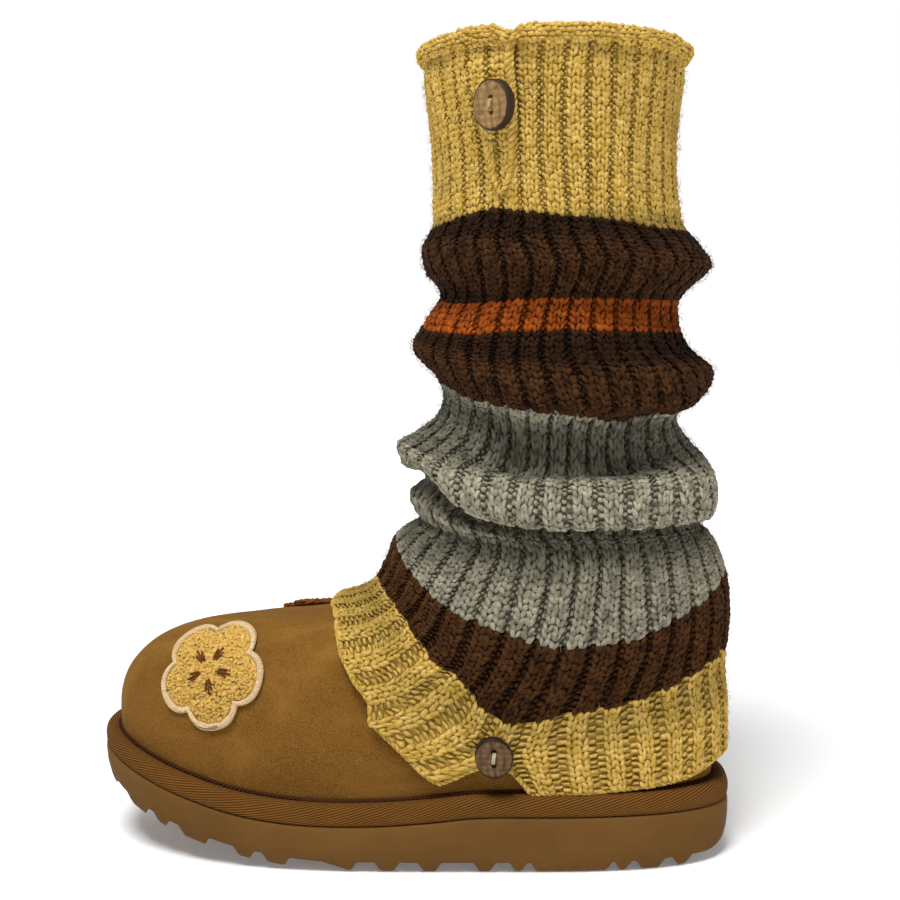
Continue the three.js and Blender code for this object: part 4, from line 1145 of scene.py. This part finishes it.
def build_rim():
    row = float(place_row(RIM["place"]))
    steps, sides, across = RIM_STEPS["around"], RIM_STEPS["sides"], RIM_STEPS["columns"]
    u = np.arange(steps) / steps
    rise = flap_rise(u, np.full(steps, row))
    core = on_knit(u, np.full(steps, row), RIM["out"] + rise)
    notch = RIM["notch"] * np.exp(-((u - FLAP_U) / RIM["notch_wide"]) ** 2)
    core[:, 2] = core[:, 2] + RIM["up"] + RIM["climb"] * rise - notch
    out = core - core.mean(0)
    out[:, 2] = 0
    out = unit(out)

    def on_roll(at, turn, radius):
        place = (np.asarray(at) % 1) * steps
        c0 = place.astype(int) % steps
        share = (place - place.astype(int))[..., None]
        c1 = (c0 + 1) % steps
        middle, away = mix(core[c0], core[c1], share), unit(mix(out[c0], out[c1], share))
        outward, upward = (way(turn)[..., None] * np.asarray(radius)[..., None] for way in (np.cos, np.sin))
        return middle + away * outward + np.array([0, 0, 1.0]) * upward

    a, t = np.meshgrid(u, even_turn(sides), indexing="ij")
    base = on_roll(a, t, np.full(a.shape, RIM["core"]))
    a, t = np.meshgrid(np.arange(across) / across, even_turn(RIM_STEPS["loops"]), indexing="ij")
    a, t = a.ravel(), t.ravel()
    a = a + (np.arange(len(a)) % 2) * 0.5 / across + rng.normal(0, RIM_UNEVEN["along"], len(a))
    t = t + rng.normal(0, RIM_UNEVEN["turn"], len(t))
    s = np.linspace(-0.5, 0.5, len(RIM_STITCH["body"]))
    along = a[:, None] + s * RIM_STITCH["long"] / across
    bow = t[:, None] + RIM_STITCH["bow"] * np.cos(np.pi * s)
    lift = RIM["radius"] - RIM_STITCH["sunk"] + RIM_STITCH["lift"] * np.cos(np.pi * s)[None]
    lift = lift + rng.normal(0, RIM_UNEVEN["lift"], (len(a), 1))
    stitches = tubes(on_roll(along, bow, lift), np.array(RIM_STITCH["body"])[None], 4)
    points, faces = joined([(base, grid_faces(steps, sides, close_rows=True)), stitches])
    make_piece("knit_rim", points, faces, YARNS["mustard"], "rib_knit", ["knit_shaft"],
               light=np.ones(len(points)))


# Buttons: discs of branch wood, sewn on with thread through two holes
BUTTON = {"edge": 0.9, "hole": 1.1, "spacing": 5.8, "sides": 64, "hole_sides": 24, "bevel": 3,
          "off": 0.6, "aside": 0.5}
BUTTON_RAGGED = columns("size waves start", [(0.012, 3, 1), (0.009, 7, 0)])
THREAD_PATH = columns("along lift", [
    (-0.72, -2.4), (-0.7, -0.3), (-0.56, 0.3), (-0.25, 0.5),
    (0.25, 0.5), (0.56, 0.3), (0.7, -0.3), (0.72, -2.4),
])
THREAD = {"apart": 0.38, "lean": 0.12, "radius": 0.44, "sides": 6}


def button_frame(node):
    """Centre, axes and half thickness of a CAD button, from its own corners."""
    corners = np.array([v.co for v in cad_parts[node].data.vertices], float)
    centre = (corners.min(0) + corners.max(0)) / 2
    spread = np.linalg.svd(corners - corners.mean(0), full_matrices=False)[2]
    normal = spread[2] * np.sign(spread[2][1])
    side = unit(np.cross([0, 0, 1.0], normal))
    up = np.cross(normal, side)
    away = (corners - centre) @ normal
    return centre, side, up, normal, (away.max() - away.min()) / 2


def round_outline(curve, x, y, radius, count, ragged=0.0):
    """A closed ring of a flat curve, in millimetres."""
    turn = even_turn(count)
    reach = radius * (1 + ragged)
    x, y = x + reach * np.cos(turn), y + reach * np.sin(turn)
    spots = np.stack([x, y, np.zeros(count), np.full(count, 1 / MM)], -1)
    spline = curve.splines.new("POLY")
    spline.points.add(count - 1)
    spline.points.foreach_set("co", (spots * MM).astype(np.float32).ravel())
    spline.use_cyclic_u = True


def build_button(node, radius, material, slot, thread_material, tilt, oval, long_way):
    """A button, oval along its long way, and turned by the tilt, which lifts its rear edge off the knit."""
    centre, side, up, normal, half = button_frame(node)
    moved = normal * BUTTON["off"] + side * BUTTON["aside"]
    centre = centre + moved * (radius * abs(np.sin(tilt)) * MM)
    normal, side = np.cos(tilt) * normal + np.sin(tilt) * side, np.cos(tilt) * side - np.sin(tilt) * normal
    curve = bpy.data.curves.new(node + "_outline", "CURVE")
    curve.dimensions = "2D"
    curve.fill_mode = "BOTH"
    curve.extrude = half - BUTTON["edge"] * MM
    curve.bevel_depth = BUTTON["edge"] * MM
    curve.bevel_resolution = BUTTON["bevel"]
    turn = even_turn(BUTTON["sides"])
    ragged = oval * np.cos(2 * (turn - long_way))
    for size, waves, start in zip(*BUTTON_RAGGED.values()):
        ragged = ragged + size * np.sin(turn * waves + start)
    round_outline(curve, 0, 0, radius - BUTTON["edge"], BUTTON["sides"], ragged)
    hole = BUTTON["hole"] + BUTTON["edge"]
    for way in (-1, 1):
        round_outline(curve, 0, way * BUTTON["spacing"] / 2, hole, BUTTON["hole_sides"])
    draft = bpy.data.objects.new(node + "_draft", curve)
    bpy.context.scene.collection.objects.link(draft)
    mesh = bpy.data.meshes.new_from_object(draft.evaluated_get(bpy.context.evaluated_depsgraph_get()))
    bpy.data.objects.remove(draft)
    local = np.array([v.co for v in mesh.vertices], float)
    faces = [[list(p.vertices) for p in mesh.polygons if len(p.vertices) == size] for size in (3, 4)]
    faces = [np.array(f) for f in faces if f]
    points = centre + local[:, :1] * side + local[:, 1:2] * up + local[:, 2:] * normal
    uv = local[:, :2] / (2 * radius * MM) + 0.5
    make_piece(node + "_wood", points / MM - [SHIFT_X, 0, 0], faces, material, slot, [node], uv)
    y = (THREAD_PATH["along"] * BUTTON["spacing"] / 2)[:, None]
    lift = (THREAD_PATH["lift"] + half / MM)[:, None]
    middle = centre / MM - [SHIFT_X, 0, 0]
    paths = [middle + (shift + THREAD["lean"] * y) * side + y * up + lift * normal
             for shift in (-THREAD["apart"], THREAD["apart"])]
    strands = tubes(np.stack(paths), THREAD["radius"], THREAD["sides"])
    make_piece(node + "_thread", *strands, thread_material, slot)


# Patches: curly fleece flowers on the suede
CURL = {"steps": 11, "turns": 1.5, "size": (0.42, 0.85), "inner": 0.45, "tilt": 0.7, "lift": (-0.3, 0.4),
        "loose": 0.2, "row": 0.87, "sunk": 0.75, "edge": 0.7, "radius": 0.24, "spacing": 2.7}
PATCH_STEPS = {"around": 90, "out": 16, "centre": 0.02, "under": (1, 0.5, 0.02)}
CORD = {"steps": 240, "sides": 9, "middle": 0.75, "high": 0.85}
SATIN = {"count": 210, "past": 0.1, "lean": 0.012, "low": 0.2, "high": 1.55, "radius": 0.36}
# Stitches in the flower's middle: turn from the middle of a petal, start and length
MARKS = columns("turn start long", [(0, 4.2, 6.2), (0.16, 4.8, 4.2), (-0.16, 4.8, 4.2)])
MARK_STITCH = {"radius": 0.5, "sunk": 0.2, "bow": 0.5, "fall": 0.05}


def patch_axes(patch):
    angle, level = np.array(patch["angle"]), np.array(patch["level"])
    centre, normal = last_point(angle, level), last_normal(angle, level)
    around = last_point(angle + 0.01, level) - centre
    around = unit(around - normal * (around @ normal))
    return centre, around, np.cross(normal, around)


def on_patch(patch, x, y, height):
    """Points of a patch, at a place in its flat plan and a height above the suede."""
    centre, around, upward = patch_axes(patch)
    x, y = np.broadcast_arrays(np.asarray(x, float), np.asarray(y, float))
    angle, level = np.full(x.shape, patch["angle"]), np.full(x.shape, patch["level"])
    step = 0.005

    def flat(a, l):
        away = last_point(a, l) - centre
        return away @ around, away @ upward

    for _ in range(6):
        here, turned, raised = flat(angle, level), flat(angle + step, level), flat(angle, level + step)
        ax, ay = (turned[0] - here[0]) / step, (turned[1] - here[1]) / step
        lx, ly = (raised[0] - here[0]) / step, (raised[1] - here[1]) / step
        sx, sy = x - here[0], y - here[1]
        area = ax * ly - ay * lx
        angle = angle + (sx * ly - sy * lx) / area
        level = level + (ax * sy - ay * sx) / area
    return last_offset(angle, level, SEAT_GAP + np.asarray(height))


def on_patch_round(patch, turn, radius, height):
    return on_patch(patch, radius * np.cos(turn), radius * np.sin(turn), height)


def patch_radius(patch, turn):
    notch = 1 - np.abs(np.cos(PETAL["count"] / 2 * (turn - patch["turn"])))
    return patch["radius"] * (1 - PETAL["depth"] * notch ** PETAL["sharp"])


def patch_height(patch, share):
    """Height of the ground of a patch at a share of the way to its edge."""
    return mix(patch["high"], patch["rim"], share ** 2) - CURL["sunk"]


def build_patch(name, patch, inset, material, slot):
    spacing, steps = CURL["spacing"], PATCH_STEPS["around"]
    turn = even_turn(steps)
    t, s = np.meshgrid(turn, np.linspace(PATCH_STEPS["centre"], 1, PATCH_STEPS["out"]))
    over = on_patch_round(patch, t, (patch_radius(patch, t) - inset) * s, patch_height(patch, s))
    radius = patch_radius(patch, turn) - inset
    under = [on_patch_round(patch, turn, radius * share, np.zeros(steps)) for share in PATCH_STEPS["under"]]
    base = np.concatenate([over, np.stack(under)])
    step = spacing * CURL["row"]
    span = int(patch["radius"] / step) + 1
    i, j = (a.ravel() for a in np.meshgrid(np.arange(-span, span + 1), np.arange(-span, span + 1)))
    x = i * spacing + (j % 2) * spacing / 2 + rng.normal(0, CURL["loose"] * spacing, len(i))
    y = j * step + rng.normal(0, CURL["loose"] * spacing, len(i))
    away, turned = np.hypot(x, y), np.arctan2(y, x)
    keep = away < patch_radius(patch, turned) - inset - CURL["edge"]
    x, y, away, turned = x[keep], y[keep], away[keep], turned[keep]
    count = len(x)
    share = away / (patch_radius(patch, turned) - inset)
    phase, size = rng.uniform(0, TURN, (count, 1)), rng.uniform(*CURL["size"], (count, 1)) * spacing
    around = np.linspace(0, CURL["turns"] * TURN, CURL["steps"])[None] + phase
    curl = size * np.linspace(1.0, CURL["inner"], CURL["steps"])[None]
    tilt = rng.uniform(-CURL["tilt"], CURL["tilt"], (count, 2))
    px, py = x[:, None] + curl * np.cos(around), y[:, None] + curl * np.sin(around)
    rise = tilt[:, :1] * np.cos(around) + tilt[:, 1:] * np.sin(around)
    lift = patch_height(patch, share[:, None]) + 0.5 * rise * curl + np.linspace(*CURL["lift"], CURL["steps"])
    curls = tubes(on_patch(patch, px, py, lift), CURL["radius"] * spacing, 4)
    make_piece(name, *joined([(base, grid_faces(len(base), steps, close_rows=True)), curls]),
               material, slot, [name.replace("_curls", "")])


def build_patch_edge():
    """Corded edge of close satin stitches, and short brown stitches in the flower's middle."""
    steps, sides, count = CORD["steps"], CORD["sides"], SATIN["count"]

    def middle(turn):
        return patch_radius(TOE_PATCH, turn) - EDGE_WIDTH / 2

    turn, around = np.meshgrid(even_turn(steps), even_turn(sides), indexing="ij")
    height = np.maximum(0, CORD["middle"] + CORD["high"] * np.sin(around))
    core = on_patch_round(TOE_PATCH, turn, middle(turn) + EDGE_WIDTH / 2 * np.cos(around), height)
    turn, s = even_turn(count)[:, None], np.linspace(-1, 1, 6)
    height = SATIN["low"] + SATIN["high"] * np.sqrt(np.maximum(0, 1 - 0.9 * s ** 2))[None] * np.ones((count, 1))
    radius = middle(turn) + s * (EDGE_WIDTH / 2 + SATIN["past"])
    satin = tubes(on_patch_round(TOE_PATCH, turn + s * SATIN["lean"], radius, height), SATIN["radius"], 4)
    make_piece("patch_cord", *joined([(core, grid_faces(steps, sides, close_rows=True)), satin]),
               CREAM, "cream_cord", ["toe_patch_edge"])
    petal = TOE_PATCH["turn"] + even_turn(PETAL["count"])
    turn = np.concatenate([petal + shift for shift in MARKS["turn"]])[:, None]
    start, long = (np.repeat(MARKS[key], PETAL["count"])[:, None] for key in ("start", "long"))
    s = np.linspace(0, 1, 6)
    reach = start + s * long
    bowed = MARK_STITCH["bow"] * np.sin(np.pi * s)[None]
    lift = TOE_PATCH["high"] - MARK_STITCH["sunk"] + bowed - MARK_STITCH["fall"] * (reach / 6) ** 2
    marks = tubes(on_patch_round(TOE_PATCH, turn, reach, lift), MARK_STITCH["radius"])
    make_piece("patch_stitches", *marks, MARK, "brown_fleece")


# Studio: wide pale floor, soft light that is white around the horizon, and the camera
FLOOR = {"radius": (0.0005, 0.1, 0.2, 0.4, 0.7, 1.1, 1.6, 2.4, 3.6, 6.0), "sides": 72, "down": -0.0003}
LAMPS = (
    ("key", (0.3, 0.95, 2.1), 0.9, 55),
    ("fill", (-1.3, 0.9, 0.8), 1.4, 3),
    ("back", (0.1, -1.3, 1.5), 1.6, 8),
)
LAMP_TARGET = Vector((0, 0, 0.15))
CAMERA = {"eye": Vector((-0.0605, 0.6185, 0.235)), "target": Vector((-0.01725, 0, 0.1785)),
          "lens": 54.92, "sensor": 36, "clip": (0.01, 50)}


def placed(name, data, place, target):
    """A lamp or camera that looks from its place to its target."""
    made = bpy.data.objects.new(name, data)
    bpy.context.scene.collection.objects.link(made)
    made.location = place
    made.rotation_mode = "QUATERNION"
    made.rotation_quaternion = (target - Vector(place)).to_track_quat("-Z", "Y")
    return made


def build_floor():
    turn, radius = even_turn(FLOOR["sides"]), np.array(FLOOR["radius"])[:, None]
    points = np.stack(np.broadcast_arrays(radius * np.cos(turn), radius * np.sin(turn), FLOOR["down"]), -1)
    mesh = bpy.data.meshes.new("floor")
    mesh.from_pydata(points.reshape(-1, 3).tolist(), [], grid_faces(*points.shape[:2]).tolist())
    mesh.polygons.foreach_set("use_smooth", np.ones(len(mesh.polygons), bool))
    s = Shader("pale_floor", Roughness=0.9, Specular_IOR_Level=0.1, Emission_Color=grey(1))
    s.color(s.ramp(s.noise(3), [(0.3, grey(0.86)), (0.7, grey(0.88))]))
    away = s.node("ShaderNodeVectorMath", {0: s.coords()}, operation="LENGTH").outputs["Value"]
    far = s.span(s.axis(s.coords(), "Y"), -0.2, 1.5, 0.85, 0.7)
    s.feed(s.surface.inputs["Emission Strength"], s.span(away, 0.25, 1.6, 0.14, far))
    mesh.materials.append(s.material)
    floor = bpy.data.objects.new("floor", mesh)
    bpy.context.scene.collection.objects.link(floor)


def build_light():
    world = bpy.data.worlds.new("studio")
    bpy.context.scene.world = world
    world.use_nodes = True
    sky = Nodes(world.node_tree)
    background = sky.tree.nodes["Background"]
    background.inputs["Color"].default_value = grey(1)
    toward = sky.node("ShaderNodeTexCoord").outputs["Generated"]
    room = sky.span(sky.axis(toward, "Y"), -0.6, 0.9, 1.0, 0.75)
    sky.feed(background.inputs["Strength"], sky.span(sky.axis(toward, "Z"), 0.235, 0.3, room, 0.17))
    for name, place, size, power in LAMPS:
        light = bpy.data.lights.new(name, "AREA")
        light.shape = "DISK"
        light.size = size
        light.energy = power
        placed(name, light, place, LAMP_TARGET)


def build_camera():
    camera = placed("camera", bpy.data.cameras.new("camera"), CAMERA["eye"], CAMERA["target"])
    camera.data.lens = CAMERA["lens"]
    camera.data.sensor_width = CAMERA["sensor"]
    camera.data.clip_start, camera.data.clip_end = CAMERA["clip"]
    bpy.context.scene.camera = camera
    bpy.context.scene.view_settings.view_transform = "Standard"


build_floor()
build_light()
build_camera()
build_outsole()
build_welt()
build_upper()
build_insole()
build_knit()
build_rim()
build_button("button_top", 10.2, LIGHT_WOOD, "light_wood", BEIGE, -17 * DEGREE, 0.0, 0.0)
build_button("button_hem", 8.5, DARK_WOOD, "dark_wood", PALE, -3 * DEGREE, 0.06, -74 * DEGREE)
build_patch("toe_patch_curls", TOE_PATCH, EDGE_WIDTH + GAP, GOLD, "gold_fleece")
build_patch_edge()
build_patch("instep_patch_curls", INSTEP_PATCH, 0, DARK_FLEECE, "brown_fleece")
